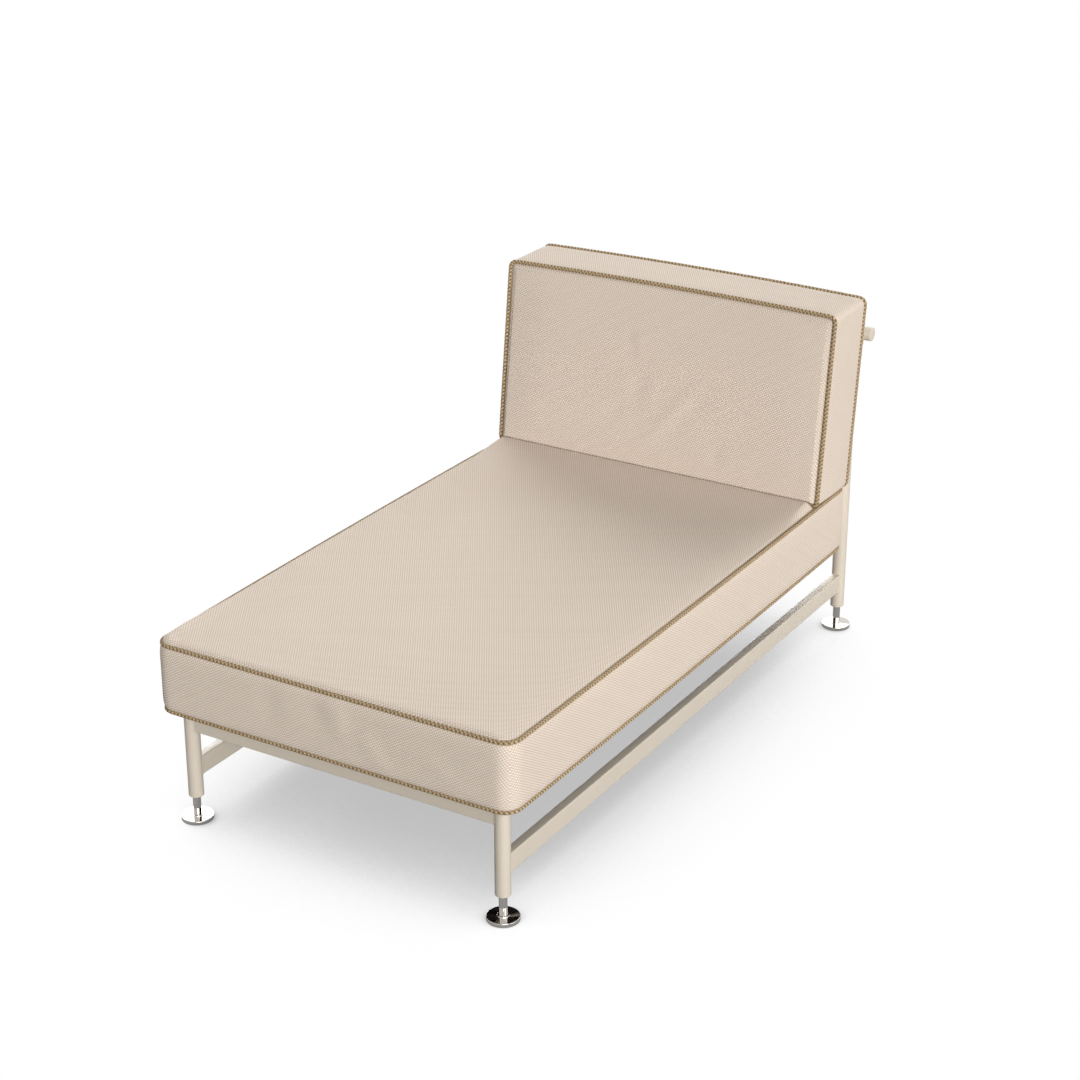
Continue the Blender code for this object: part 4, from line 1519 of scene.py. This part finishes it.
    def add_panel(self, made: "CushionMesh", panel: Panel, seam: Array, sign: float, edge: Array,
                  normal: Array) -> None:
        """Adds a panel from its seam inwards.

        Args:
            made: The mesh data so far.
            panel: Which panel.
            seam: Numbers of the seam's points.
            sign: 1 for the over panel and -1 for the under one.
            edge: Places of the seam.
            normal: Outward normal along the seam.
        """
        face = self.faces[panel]
        level = (self.over if sign > 0 else self.under) - sign * self.tuck
        count = len(seam)
        slot = 1 if self.shade_dark_under and panel is Panel.UNDER else 0
        span = self.high - self.low
        wide = self.left + self.right
        before, flat_before = seam, edge
        for t in self.rings[(0 if self.groove > 0.0 else 1):]:
            flat = edge - normal * (self.groove + t * self.roll_reach)
            rise = self.tuck + face.rolled((flat[:, 1] - self.low) / span, (flat[:, 0] + self.left) / wide)
            roll = rise * (1.0 - (1.0 - t) ** self.roll_power) ** (1.0 / self.roll_power)
            ring = made.add(flat, level + sign * (roll + self.crown(flat, face)))
            for i in range(count):
                j = (i + 1) % count
                corners = [before[i], before[j], ring[j], ring[i]]
                places = [flat_before[i], flat_before[j], flat[j], flat[i]]
                made.face(corners, places, slot, panel, sign < 0)
            before, flat_before = ring, flat
        grid = self.core(flat_before)
        columns, rows = grid.shape[:2]
        places = grid.reshape(-1, 2)
        rise = self.tuck + face.rolled((places[:, 1] - self.low) / span, (places[:, 0] + self.left) / wide)
        height = level + sign * (rise + self.crown(places, face))
        inner = np.zeros((columns, rows), int)
        n, m = columns - 1, rows - 1
        inner[:, 0], inner[n, :] = before[:n + 1], before[n:n + m + 1]
        inner[::-1, m] = before[n + m:2 * n + m + 1]
        inner[0, ::-1] = np.concatenate([before[2 * n + m:], before[:1]])
        middle = made.add(grid[1:-1, 1:-1].reshape(-1, 2), height.reshape(columns, rows)[1:-1, 1:-1].ravel())
        inner[1:-1, 1:-1] = middle.reshape(columns - 2, rows - 2)
        for i in range(n):
            for j in range(m):
                corners = [inner[i, j], inner[i + 1, j], inner[i + 1, j + 1], inner[i, j + 1]]
                places = [grid[i, j], grid[i + 1, j], grid[i + 1, j + 1], grid[i, j + 1]]
                made.face(corners, places, slot, panel, sign < 0)

    def fold(self, made: "CushionMesh") -> None:
        """Presses the wrinkles into the cloth.

        Args:
            made: The mesh data.
        """
        for w in self.wrinkles:
            chosen = made.on(w.where)
            flat = made.local[chosen]
            if isinstance(w.where, Side):
                flat = flat[:, [0 if w.where in (Side.LOW, Side.HIGH) else 1, 2]]
            a = math.radians(w.angle_degrees)
            d = flat[:, :2] - np.array(w.centre)
            along = d[:, 0] * math.cos(a) + d[:, 1] * math.sin(a)
            across = -d[:, 0] * math.sin(a) + d[:, 1] * math.cos(a)
            shape = np.exp(-(along / w.length) ** 2 - (across / w.width) ** 2)
            shape -= 0.5 * np.exp(-(along / w.length) ** 2 - ((across + 1.6 * w.width) / w.width) ** 2)
            normals = made.normals()[chosen]
            made.points[chosen] += normals * (shape * w.height)[:, None]

    def cord_path(self, panel: Panel, step: float = 0.004) -> Array:
        """Closed line that the cord follows along one seam.

        Args:
            panel: Panel whose seam it edges.
            step: Distance between its points.

        Returns:
            The points, where the cushion stands.
        """
        flat, _ = self.outline()
        closed = np.concatenate([flat, flat[:1]])
        run = run_along(closed)
        at = np.linspace(0.0, run[-1], int(run[-1] / step) + 1)[:-1]
        even = np.stack([np.interp(at, run, closed[:, k]) for k in range(2)], axis=1)
        level = self.over if panel is Panel.OVER else self.under
        return self.place(even[:, 0], even[:, 1], np.full(len(even), level))

    def build(self) -> tuple[Mesh, "CushionMesh"]:
        """Builds the cushion as a swollen and smoothed mesh.

        Returns:
            The mesh, and the data that it was made from.
        """
        made = self.shape()
        self.swell(made)
        self.fold(made)
        for limit in self.limits:
            made.points = limit(made.points)
        rough = made.mesh(self.name)
        rough.materials.append(Finishes.get(Finishes.CLOTH))
        # The under panel's near-black cloth is painted shade.
        if self.shade_dark_under:
            rough.materials.append(Finishes.get(Finishes.SHADE_LINING))
        source = make_object(self.name + "_rough", rough)
        smoother = source.modifiers.new("smooth", "SUBSURF")
        smoother.levels = smoother.render_levels = 1
        mesh = baked(source)
        mesh.shade_smooth()
        return mesh, made

    def swell(self, made: "CushionMesh") -> None:
        """Blows the cover up by cloth simulation from a slightly smaller shape.

        Args:
            made: The mesh data, whose points are moved.
        """
        seams = np.concatenate(made.seams)
        tree = KDTree(len(seams))
        for number, place in enumerate(made.points[seams]):
            tree.insert(place, number)
        tree.balance()
        distance = np.array([tree.find(place)[2] for place in made.points])
        held = 1.0 - eased((distance - self.seam_hold) / self.seam_reach)
        for zone in self.held_zones:
            held = np.maximum(held, zone(made.points))
        normals = made.normals()
        start = made.points - normals * (self.slack * (1.0 - held))[:, None]
        source = make_object(self.name + "_cloth", made.mesh(self.name + "_cloth", start))
        group = source.vertex_groups.new(name="held")
        for number in np.nonzero(held > self.LEAST_HOLD)[0]:
            group.add([int(number)], float(held[number]), "REPLACE")
        cloth = source.modifiers.new("cloth", "CLOTH")
        for key, value in self.CLOTH_SETTINGS.items():
            setattr(cloth.settings, key, value)
        cloth.settings.effector_weights.gravity = 0.0
        cloth.collision_settings.use_collision = False
        cloth.collision_settings.use_self_collision = False
        cloth.point_cache.frame_start = 1
        cloth.point_cache.frame_end = self.LAST_FRAME
        scene = bpy.context.scene
        for number in range(1, self.LAST_FRAME + 1):
            scene.frame_set(number)
        graph = bpy.context.evaluated_depsgraph_get()
        swollen = source.evaluated_get(graph).to_mesh()
        points = np.zeros(len(start) * 3)
        swollen.vertices.foreach_get("co", points)
        move = np.sum((points.reshape(-1, 3) - start) * normals, axis=1)
        soft = self.swell_cap * np.tanh(move / self.swell_cap)
        net = soft - self.slack * (1.0 - held)
        lift = self.blur * np.logaddexp(0.0, net / self.blur + 1.0) - self.blur
        made.points = made.points + normals * lift[:, None]
        LOG.info("%s swelled by up to %.1f mm, %.1f mm after the cap", self.name, 1000 * float(move.max()),
                 1000 * float(soft.max()))
        bpy.data.objects.remove(source)
        scene.frame_set(1)


class CushionMesh:
    """Points, faces and weave coordinates of a cushion while it is made."""

    def __init__(self) -> None:
        """Starts empty."""
        self.flat: list[Array] = []
        self.quads: list[list[int]] = []
        self.uvs: list[list[tuple[float, float]]] = []
        self.slots: list[int] = []
        self.owners: list[Any] = []
        self.seams: list[Array] = []
        self.middle: dict[Side, Array] = {}
        self.total = 0
        self.local = np.zeros((0, 3))
        self.points = np.zeros((0, 3))

    def add(self, flat: Array, height: Array) -> Array:
        """Adds points on the cushion's own axes and returns their numbers.

        Args:
            flat: Places along the outline's plane.
            height: Place of each through the thickness.

        Returns:
            The numbers of the points.
        """
        self.flat.append(np.column_stack([flat, height]))
        numbers = np.arange(self.total, self.total + len(flat))
        self.total += len(flat)
        return numbers

    def face(self, corners: Sequence[int], places: Sequence[Any], slot: int, owner: Any,
             turn: bool = False) -> None:
        """Adds a face.

        Args:
            corners: Numbers of its points.
            places: Weave coordinates of its corners, in metres.
            slot: Its material.
            owner: The panel or side that it belongs to.
            turn: True to turn it over.
        """
        corners, places = [int(c) for c in corners], [(float(p[0]), float(p[1])) for p in places]
        self.quads.append(corners[::-1] if turn else corners)
        self.uvs.append(places[::-1] if turn else places)
        self.slots.append(slot)
        self.owners.append(owner)

    def finish(self, place: Placing) -> None:
        """Puts the points where the cushion stands."""
        self.local = np.concatenate(self.flat)
        self.points = place(self.local[:, 0], self.local[:, 1], self.local[:, 2])

    def on(self, owner: Any) -> Array:
        """Numbers of the points that one panel or side alone uses."""
        inside = {c for q, o in zip(self.quads, self.owners) if o is owner for c in q}
        outside = {c for q, o in zip(self.quads, self.owners) if o is not owner for c in q}
        return np.array(sorted(inside - outside), int)

    def normals(self) -> Array:
        """Outward normal at each point.

        Returns:
            A unit vector for each.
        """
        quads = np.array(self.quads)
        p = self.points[quads]
        each = np.cross(p[:, 2] - p[:, 0], p[:, 3] - p[:, 1])
        made = np.zeros_like(self.points)
        for k in range(4):
            np.add.at(made, quads[:, k], each)
        return made / np.maximum(np.linalg.norm(made, axis=1, keepdims=True), 1e-12)

    def mesh(self, name: str, points: Optional[Array] = None) -> Mesh:
        """Makes a Blender mesh with the weave's UV map.

        Args:
            name: Name of the mesh.
            points: Places to use instead of the kept ones.

        Returns:
            The mesh.
        """
        made = bpy.data.meshes.new(name)
        made.from_pydata((self.points if points is None else points).tolist(), [], self.quads)
        map_weave(made, self.uvs)
        made.polygons.foreach_set("material_index", np.array(self.slots, np.int32))
        made.shade_smooth()
        made.update()
        return made


@dataclass
class CoilZip:
    """A nylon zip on a cushion's wall: the tape, the coil of teeth and the slider."""

    name: str
    node: str
    path: Array
    out: Point
    across: Point
    half_width: float = 0.0047
    thickness: float = 0.0006
    pitch: float = 0.0016
    tooth: Point = (0.0010, 0.0034, 0.0012)
    slider: tuple[float, float, float, float, float] = (0.0055, 0.0032, 0.0016, 0.0026, 0.0005)
    slider_lift: float = 0.0005
    pull: tuple[float, float, float, float, float] = (0.0080, 0.0020, 0.0008, 0.0018, 0.0003)
    pull_place: Point = (0.0085, 0.0, 0.0016)

    def build(self) -> None:
        """Builds the zip's pieces and settles them."""
        out, across = np.array(self.out), np.array(self.across)
        self.build_tape(out, across)
        along = np.array([1.0, 0.0, 0.0])
        size = np.abs(out) * self.tooth[2] + np.abs(across) * self.tooth[1] + along * self.tooth[0]
        line = path_object(self.name + "_line", [(self.path + out * self.thickness, False)])
        mesh = Trees.run("zip_chain", line, Finishes.NYLON, pitch=self.pitch,
                         tooth_size=tuple(float(v) for v in size))
        mesh.shade_smooth()
        settle(self.name + "_coil", mesh)
        self.build_slider(out, across)

    def build_tape(self, out: Array, across: Array) -> None:
        """Builds the woven tape as a thin closed strip.

        Args:
            out: Direction away from the wall.
            across: Direction across the tape.
        """
        section = ((-1.0, 0.0), (1.0, 0.0), (1.0, 1.0), (-1.0, 1.0))
        rows = [self.path + across * (side * self.half_width) + out * (lift * self.thickness)
                for side, lift in section]
        count = len(self.path)
        run = run_along(self.path)
        faces, places = [], []
        for k in range(4):
            j = (k + 1) % 4
            for i in range(count - 1):
                faces.append([k * count + i, k * count + i + 1, j * count + i + 1, j * count + i])
                first, second = section[k][0] * self.half_width, section[j][0] * self.half_width + 1e-5
                places += [(run[i], first), (run[i + 1], first), (run[i + 1], second), (run[i], second)]
        for i in (0, count - 1):
            faces.append([k * count + i for k in range(4)])
            places += [(run[i], section[k][0] * self.half_width) for k in range(4)]
        mesh = make_mesh(self.name, np.concatenate(rows), faces)
        map_weave(mesh, places)
        point_outwards(mesh)
        settle(self.name + "_tape", mesh, [self.node], finish=Finishes.TAPE)

    def build_slider(self, out: Array, across: Array) -> None:
        """Builds the slider and its pull near the end of the zip.

        Args:
            out: Direction away from the wall.
            across: Direction across the tape.
        """
        pull_points, pull_faces = plate(*self.pull)
        points, faces = joined([plate(*self.slider), (pull_points + np.array(self.pull_place), pull_faces)])
        from_end = np.array([4.0 * self.slider[0], 0.0, 0.0])
        start = self.path[-1] - from_end + out * (self.thickness + self.slider_lift)
        along = np.array([1.0, 0.0, 0.0])
        placed = start + points[:, :1] * along + points[:, 1:2] * across + points[:, 2:] * out
        mesh = make_mesh(self.name, placed, faces)
        point_outwards(mesh)
        settle(self.name + "_slider", mesh, finish=Finishes.ZINC)


@dataclass
class Upholstery:
    """The mattress and the back cushion with their cords and zips.

    A hold is a place and the distance over which it fades.
    """

    cord_strand: float = 0.00140
    cord_lay: float = 0.0029
    cord_lead: float = 0.0172
    back_cord: float = 1.10
    lean_degrees: float = 7.0
    back_centre: tuple[float, float] = (0.57398, 0.59825)
    back_low: float = 0.3945
    back_high: float = 0.79875
    back_half: float = 0.07525
    sink: float = 0.0055
    sink_reach: float = 0.12
    end_drop: float = 0.0075
    end_zone: tuple[float, float] = (0.335, 0.385)
    bar: tuple[float, float, float] = (0.6891, 0.696, 0.0153)
    plateau: float = 0.4005
    lip: tuple[float, float] = (0.4655, 0.4703)
    bed: tuple[float, float] = (0.3839, 0.3893)
    press_slope: tuple[float, float] = (0.110, 0.100)
    press_above: float = 0.375
    roll_hold: tuple[float, float] = (0.3888, 0.0026)
    lip_crest: float = 0.004
    deck_hold: tuple[float, float] = (0.2440, 0.001)
    carry_hold: tuple[float, float] = (0.02, 0.01)
    carry_above: float = 0.38
    stand_hold: tuple[float, float] = (0.4000, 0.003)
    rear_from: float = 0.62
    seat_rear: float = 0.6250
    zip_half: float = 0.19
    zip_lift: float = 0.0003

    def at_ends(self, x: Array) -> Array:
        """How near a place lies to the cushion's ends, from 0 to 1."""
        first, last = self.end_zone
        return eased((np.abs(x) - first) / (last - first))

    def mattress(self) -> BoxCushion:
        """The mattress, lying on the deck and pressed in where the back cushion stands.

        Returns:
            The cushion, not yet built.
        """
        lip_start, lip_end = self.lip

        def place(u: Array, v: Array, w: Array) -> Array:
            """Puts the mattress's own axes on X, Y and Z."""
            return np.stack([u, v, w], axis=1)

        def lying(points: Array) -> Array:
            """Holds the underside on the deck."""
            level, fade = self.deck_hold
            return np.clip((level - points[:, 2]) / fade, 0.0, 1.0)

        def carrying(points: Array) -> Array:
            """Holds the top still under the back cushion."""
            before, fade = self.carry_hold
            under_back = np.clip((points[:, 1] - lip_start + before) / fade, 0.0, 1.0)
            return np.where(points[:, 2] > self.carry_above, under_back, 0.0)

        def pressed(points: Array) -> Array:
            """Presses the top down under the back cushion, behind a steep lip.

            Args:
                points: Places of the mattress's points.

            Returns:
                The pressed places.
            """
            y, z = points[:, 1], points[:, 2]
            before, slope = self.press_slope
            roll_level, roll_fade = self.roll_hold
            near = eased((y - lip_start + before) / slope) * np.clip((z - roll_level) / roll_fade, 0.0, 1.0)
            level = z + (self.plateau - z) * near
            step = eased((y - lip_start) / (lip_end - lip_start))
            share = np.clip((y - lip_end) / (self.seat_rear - lip_end), 0.0, 1.0)
            rise = self.bed[1] - self.bed[0] - self.end_drop * self.at_ends(points[:, 0])
            crest = self.plateau + self.lip_crest
            made = points.copy()
            made[:, 2] = np.minimum(level, crest + (self.bed[0] + rise * share - crest) * step)
            return np.where(((z > self.press_above) & (y > lip_start - before))[:, None], made, points)

        folds = (
            Wrinkle(Side.LOW, (-0.016, 0.342), 105.0, 0.030, 0.016, -0.0022),
            Wrinkle(Side.LOW, (0.034, 0.340), 102.0, 0.034, 0.017, 0.0026),
            Wrinkle(Side.LOW, (0.108, 0.295), 130.0, 0.040, 0.016, 0.0024),
            Wrinkle(Side.LOW, (0.258, 0.295), 155.0, 0.045, 0.014, 0.0018),
            Wrinkle(Side.LOW, (-0.124, 0.335), 95.0, 0.040, 0.022, -0.0020),
            Wrinkle(Panel.OVER, (-0.376, -0.675), -90.0, 0.110, 0.018, 0.0050),
            Wrinkle(Panel.OVER, (0.215, -0.614), 8.0, 0.080, 0.012, 0.0006),
            Wrinkle(Panel.OVER, (0.320, -0.690), 120.0, 0.050, 0.010, 0.0006),
        )
        fine = [lip_start + d for d in (-0.022, -0.010, -0.004, -0.0014, 0.0, 0.0010, 0.0020, 0.0030, 0.0039,
                                        0.0048, 0.0068, 0.0110)]
        return BoxCushion(
            "seat_mattress", 0.390, 0.3945, -0.7602, self.seat_rear, 0.2473, 0.385, (0.031,) * 4,
            {Side.LEFT: 0.007, Side.RIGHT: 0.003},
            {Side.LOW: 0.006, Side.RIGHT: 0.006, Side.HIGH: 0.0045, Side.LEFT: 0.006},
            {Panel.UNDER: Face(0.006, 0.0, 0.2), Panel.OVER: Face(0.0085, 0.0026, 0.20, None, 0.0042)}, place,
            # The under panel takes the near-black cloth as painted shade.
            wrinkles=folds, fine_lines=fine, roll_reach=0.0125, roll_power=2.2, shade_dark_under=True,
            held_zones=[lying, carrying], limits=[pressed])

    def back(self) -> BoxCushion:
        """The back cushion, sunk into the mattress and leaning on the front bar.

        Returns:
            The cushion, not yet built.
        """
        slope = math.tan(math.radians(self.lean_degrees))
        centre_y, centre_z = self.back_centre

        def place(u: Array, v: Array, w: Array) -> Array:
            """Stands the cushion's own axes up, leans them back and sinks the low front edge."""
            front = np.clip(0.5 + w / (2.0 * self.back_half), 0.0, 1.0)
            low = np.clip(1.0 - (v - self.back_low) / self.sink_reach, 0.0, 1.0)
            drop = self.sink * front + self.end_drop * (1.0 - front) * self.at_ends(u)
            height = v - drop * low * low
            return np.stack([u, centre_y + (v - centre_z) * slope - w, height], axis=1)

        def clear_of_bar(points: Array) -> Array:
            """Keeps the rear panel in front of the bar that it rests on.

            Args:
                points: Places of the cushion's points.

            Returns:
                The places clear of the bar.
            """
            bar_y, bar_z, radius = self.bar
            drop = np.clip(radius ** 2 - (points[:, 2] - bar_z) ** 2, 0.0, None)
            near = np.abs(points[:, 2] - bar_z) < radius
            most = np.where(near, bar_y - np.sqrt(drop), 1.0)
            made = points.copy()
            rear = points[:, 1] > self.rear_from
            made[:, 1] = np.where(rear, np.minimum(points[:, 1], most), points[:, 1])
            return made

        def standing(points: Array) -> Array:
            """Holds the low wall on the mattress."""
            level, fade = self.stand_hold
            return np.clip((level - points[:, 2]) / fade, 0.0, 1.0)

        folds = (
            Wrinkle(Panel.OVER, (-0.070, 0.667), 98.0, 0.032, 0.009, -0.0022),
            Wrinkle(Panel.OVER, (0.045, 0.535), 50.0, 0.075, 0.015, 0.0022),
            Wrinkle(Panel.OVER, (-0.095, 0.520), 30.0, 0.035, 0.013, -0.0015),
            Wrinkle(Panel.OVER, (-0.045, 0.580), 70.0, 0.040, 0.020, -0.0015),
            Wrinkle(Panel.OVER, (0.158, 0.470), 65.0, 0.022, 0.013, -0.0015),
        )
        return BoxCushion(
            "back_cushion", 0.3965, 0.3965, self.back_low, self.back_high, -self.back_half, self.back_half,
            (0.011, 0.011, 0.013, 0.013), {Side.HIGH: 0.005},
            {Side.LOW: 0.0015, Side.RIGHT: 0.0032, Side.HIGH: 0.0032, Side.LEFT: 0.0032},
            {Panel.UNDER: Face(0.0080, 0.0045, 0.10, 0.0040), Panel.OVER: Face(0.0088, 0.0075, 0.11, 0.0025)},
            place, wrinkles=folds, groove=0.0034, roll_reach=0.012, roll_power=2.0, grid=0.0115,
            held_zones=[standing], limits=[clear_of_bar])

    def cord(self, name: str, path: Array, normal: Point, node: str, full: float) -> None:
        """Lays a twisted cord along a seam.

        Args:
            name: Name of the piece.
            path: Closed line of the seam.
            normal: Normal of the seam's plane.
            node: Solid that it stands for.
            full: How full its strands lie, 1 for the mattress's cord.
        """
        mesh = Trees.run("twisted_cord", path_object(name + "_path", [(path, True)]), Finishes.CORD,
                         strand_radius=self.cord_strand * full, lay_radius=self.cord_lay * full,
                         lead=self.cord_lead, plane_normal=normal)
        settle(name, mesh, [node])

    def build(self) -> None:
        """Builds both cushions, their cords and their zips."""
        lean = math.radians(self.lean_degrees)
        self.dress(self.mattress(), "seat", {Panel.OVER: "top", Panel.UNDER: "bottom"}, (0.0, 0.0, 1.0),
                   Side.HIGH, (0.0, 1.0, 0.0), (0.0, 0.0, 1.0))
        self.dress(self.back(), "back", {Panel.OVER: "front", Panel.UNDER: "rear"},
                   (0.0, -math.cos(lean), math.sin(lean)), Side.LOW, (0.0, 0.0, -1.0), (0.0, 1.0, 0.0))

    def dress(self, cushion: BoxCushion, key: str, edges: dict[Panel, str], normal: Point,
              zip_side: Side, zip_out: Point, zip_across: Point) -> None:
        """Builds one cushion with its cords and its zip.

        Args:
            cushion: The cushion.
            key: First word of its solids' names.
            edges: What each panel's seam is called there.
            normal: Normal of the seams' planes.
            zip_side: Wall that holds the zip.
            zip_out: Direction away from that wall.
            zip_across: Direction across the zip.
        """
        mesh, made = cushion.build()
        piece = settle(cushion.name, mesh, [f"{key}_cover", f"{key}_foam"])
        for panel, where in edges.items():
            full = self.back_cord if key == "back" else 1.0
            self.cord(f"{key}_cord_{where}", cushion.cord_path(panel), normal, f"{key}_piping_{where}", full)
        line = made.points[made.middle[zip_side]]
        line = line[np.abs(line[:, 0]) < self.zip_half]
        line = line[np.argsort(line[:, 0])] + np.array(zip_out) * self.zip_lift
        CoilZip(f"{key}_zip", f"{key}_zip", line, zip_out, zip_across).build()


@dataclass(frozen=True)
class Lamp:
    """One broad soft light at a direction."""

    name: str
    azimuth_degrees: float
    elevation_degrees: float
    strength: float
    spread_degrees: float


@dataclass
class Studio:
    """Camera, floor, background and light."""

    camera_place: Point = (2.27963, -3.78637, 2.31654)
    camera_turn: Point = (66.572, 0.0, 31.111)
    lens: float = 78.36
    sensor: float = 36.0
    dome: float = 0.25
    floor_half: float = 40.0
    floor_bounce: float = 0.22
    floor_gloss: float = 0.42
    shade_reach: float = 0.80
    shade_span: tuple[float, float] = (0.27, 0.80)
    shade_floor: float = 0.515
    lamps: Sequence[Lamp] = (
        Lamp("lamp_rear_left_low", 225.0, 15.0, 2.41, 40.0),
        Lamp("lamp_rear_left_high", 225.0, 40.0, 0.33, 40.0),
        Lamp("lamp_rear", 180.0, 40.0, 0.78, 40.0),
        Lamp("lamp_front_right", 45.0, 10.0, 3.02, 40.0),
        Lamp("lamp_right", 90.0, 15.0, 1.08, 40.0))

    def build(self) -> None:
        """Builds the studio."""
        bpy.context.scene.view_settings.view_transform = "Standard"
        self.build_camera()
        self.build_world()
        self.build_floor()
        for lamp in self.lamps:
            self.build_lamp(lamp)

    def build_camera(self) -> None:
        """Places the camera at the photograph's view."""
        data = bpy.data.cameras.new("camera")
        data.lens, data.sensor_width = self.lens, self.sensor
        data.clip_start, data.clip_end = 0.05, 200.0
        camera = make_object("camera", data)
        camera.location = self.camera_place
        camera.rotation_euler = [math.radians(a) for a in self.camera_turn]
        bpy.context.scene.camera = camera

    @staticmethod
    def seen(g: Graph) -> tuple[NodeSocket, NodeSocket]:
        """Adds the tests for what is looked at.

        Args:
            g: The graph to add to.

        Returns:
            Whether the camera or glass looks, and whether a polished surface does.
        """
        rays = g.add("ShaderNodeLightPath")
        straight = g.math("MAXIMUM", rays.outputs["Is Camera Ray"], rays.outputs["Is Transmission Ray"])
        return straight, rays.outputs["Is Glossy Ray"]

    def build_world(self) -> None:
        """Makes an even dome that the camera and polished surfaces see as white."""
        world = bpy.data.worlds.new("studio_dome")
        bpy.context.scene.world = world
        world.use_nodes = True
        g = Graph(world.node_tree)
        light = world.node_tree.nodes["Background"]
        light.inputs["Color"].default_value = (1.0, 1.0, 1.0, 1.0)
        light.inputs["Strength"].default_value = self.dome
        straight, gloss = self.seen(g)
        white = g.add("ShaderNodeBackground", {"Color": (1.0, 1.0, 1.0), "Strength": 1.0})
        mixed = g.add("ShaderNodeMixShader", {0: g.math("MAXIMUM", straight, gloss), 1: light.outputs[0],
                                              2: white.outputs[0]})
        g.wire(world.node_tree.nodes["World Output"].inputs["Surface"], mixed.outputs[0])

    def build_floor(self) -> None:
        """Makes a white floor that keeps the soft shadow."""
        h = self.floor_half
        mesh = bpy.data.meshes.new("floor")
        mesh.from_pydata([(-h, -h, 0.0), (h, -h, 0.0), (h, h, 0.0), (-h, h, 0.0)], [], [[0, 1, 2, 3]])
        material = bpy.data.materials.new("studio_floor")
        material.use_nodes = True
        g = Graph(material.node_tree)
        material.node_tree.nodes.remove(material.node_tree.nodes["Principled BSDF"])
        straight, gloss = self.seen(g)
        cover = g.add("ShaderNodeAmbientOcclusion", {"Distance": self.shade_reach}, samples=16)
        shut = g.math("SUBTRACT", 1.0, cover.outputs["AO"], clamp=True)
        level = g.spread(shut, self.shade_span[0], self.shade_span[1], 1.0, self.shade_floor)
        made = g.add("ShaderNodeBsdfDiffuse", {"Color": (self.floor_bounce,) * 3})
        for share, test in ((self.floor_gloss, gloss), (1.0, straight)):
            pale = g.add("ShaderNodeEmission", {"Color": (share,) * 3, "Strength": level})
            made = g.add("ShaderNodeMixShader", {0: test, 1: made.outputs[0], 2: pale.outputs[0]})
        g.wire(material.node_tree.nodes["Material Output"].inputs["Surface"], made.outputs[0])
        mesh.materials.append(material)
        make_object("floor", mesh)

    @staticmethod
    def build_lamp(lamp: Lamp) -> None:
        """Hangs one lamp.

        Args:
            lamp: Its direction, strength and spread.
        """
        data = bpy.data.lights.new(lamp.name, "SUN")
        data.energy = lamp.strength
        data.angle = math.radians(lamp.spread_degrees)
        made = make_object(lamp.name, data)
        a, e = math.radians(lamp.azimuth_degrees), math.radians(lamp.elevation_degrees)
        toward = Vector((math.sin(a) * math.cos(e), -math.cos(a) * math.cos(e), math.sin(e)))
        made.rotation_euler = toward.to_track_quat("Z", "Y").to_euler()


def main() -> None:
    """Builds the studio and every sub-assembly in order."""
    logging.basicConfig(level=logging.INFO, format="%(name)s: %(message)s")
    Studio().build()
    steel = SteelFrame()
    steel.build()
    SlatDeck().build()
    for end, y in (("front", steel.front), ("rear", steel.rear)):
        for side, sign in SIDES:
            LevellingFoot(f"{end}_{side}", sign * steel.half_spacing, y).build()
    Upholstery().build()


if __name__ == "__main__":
    main()
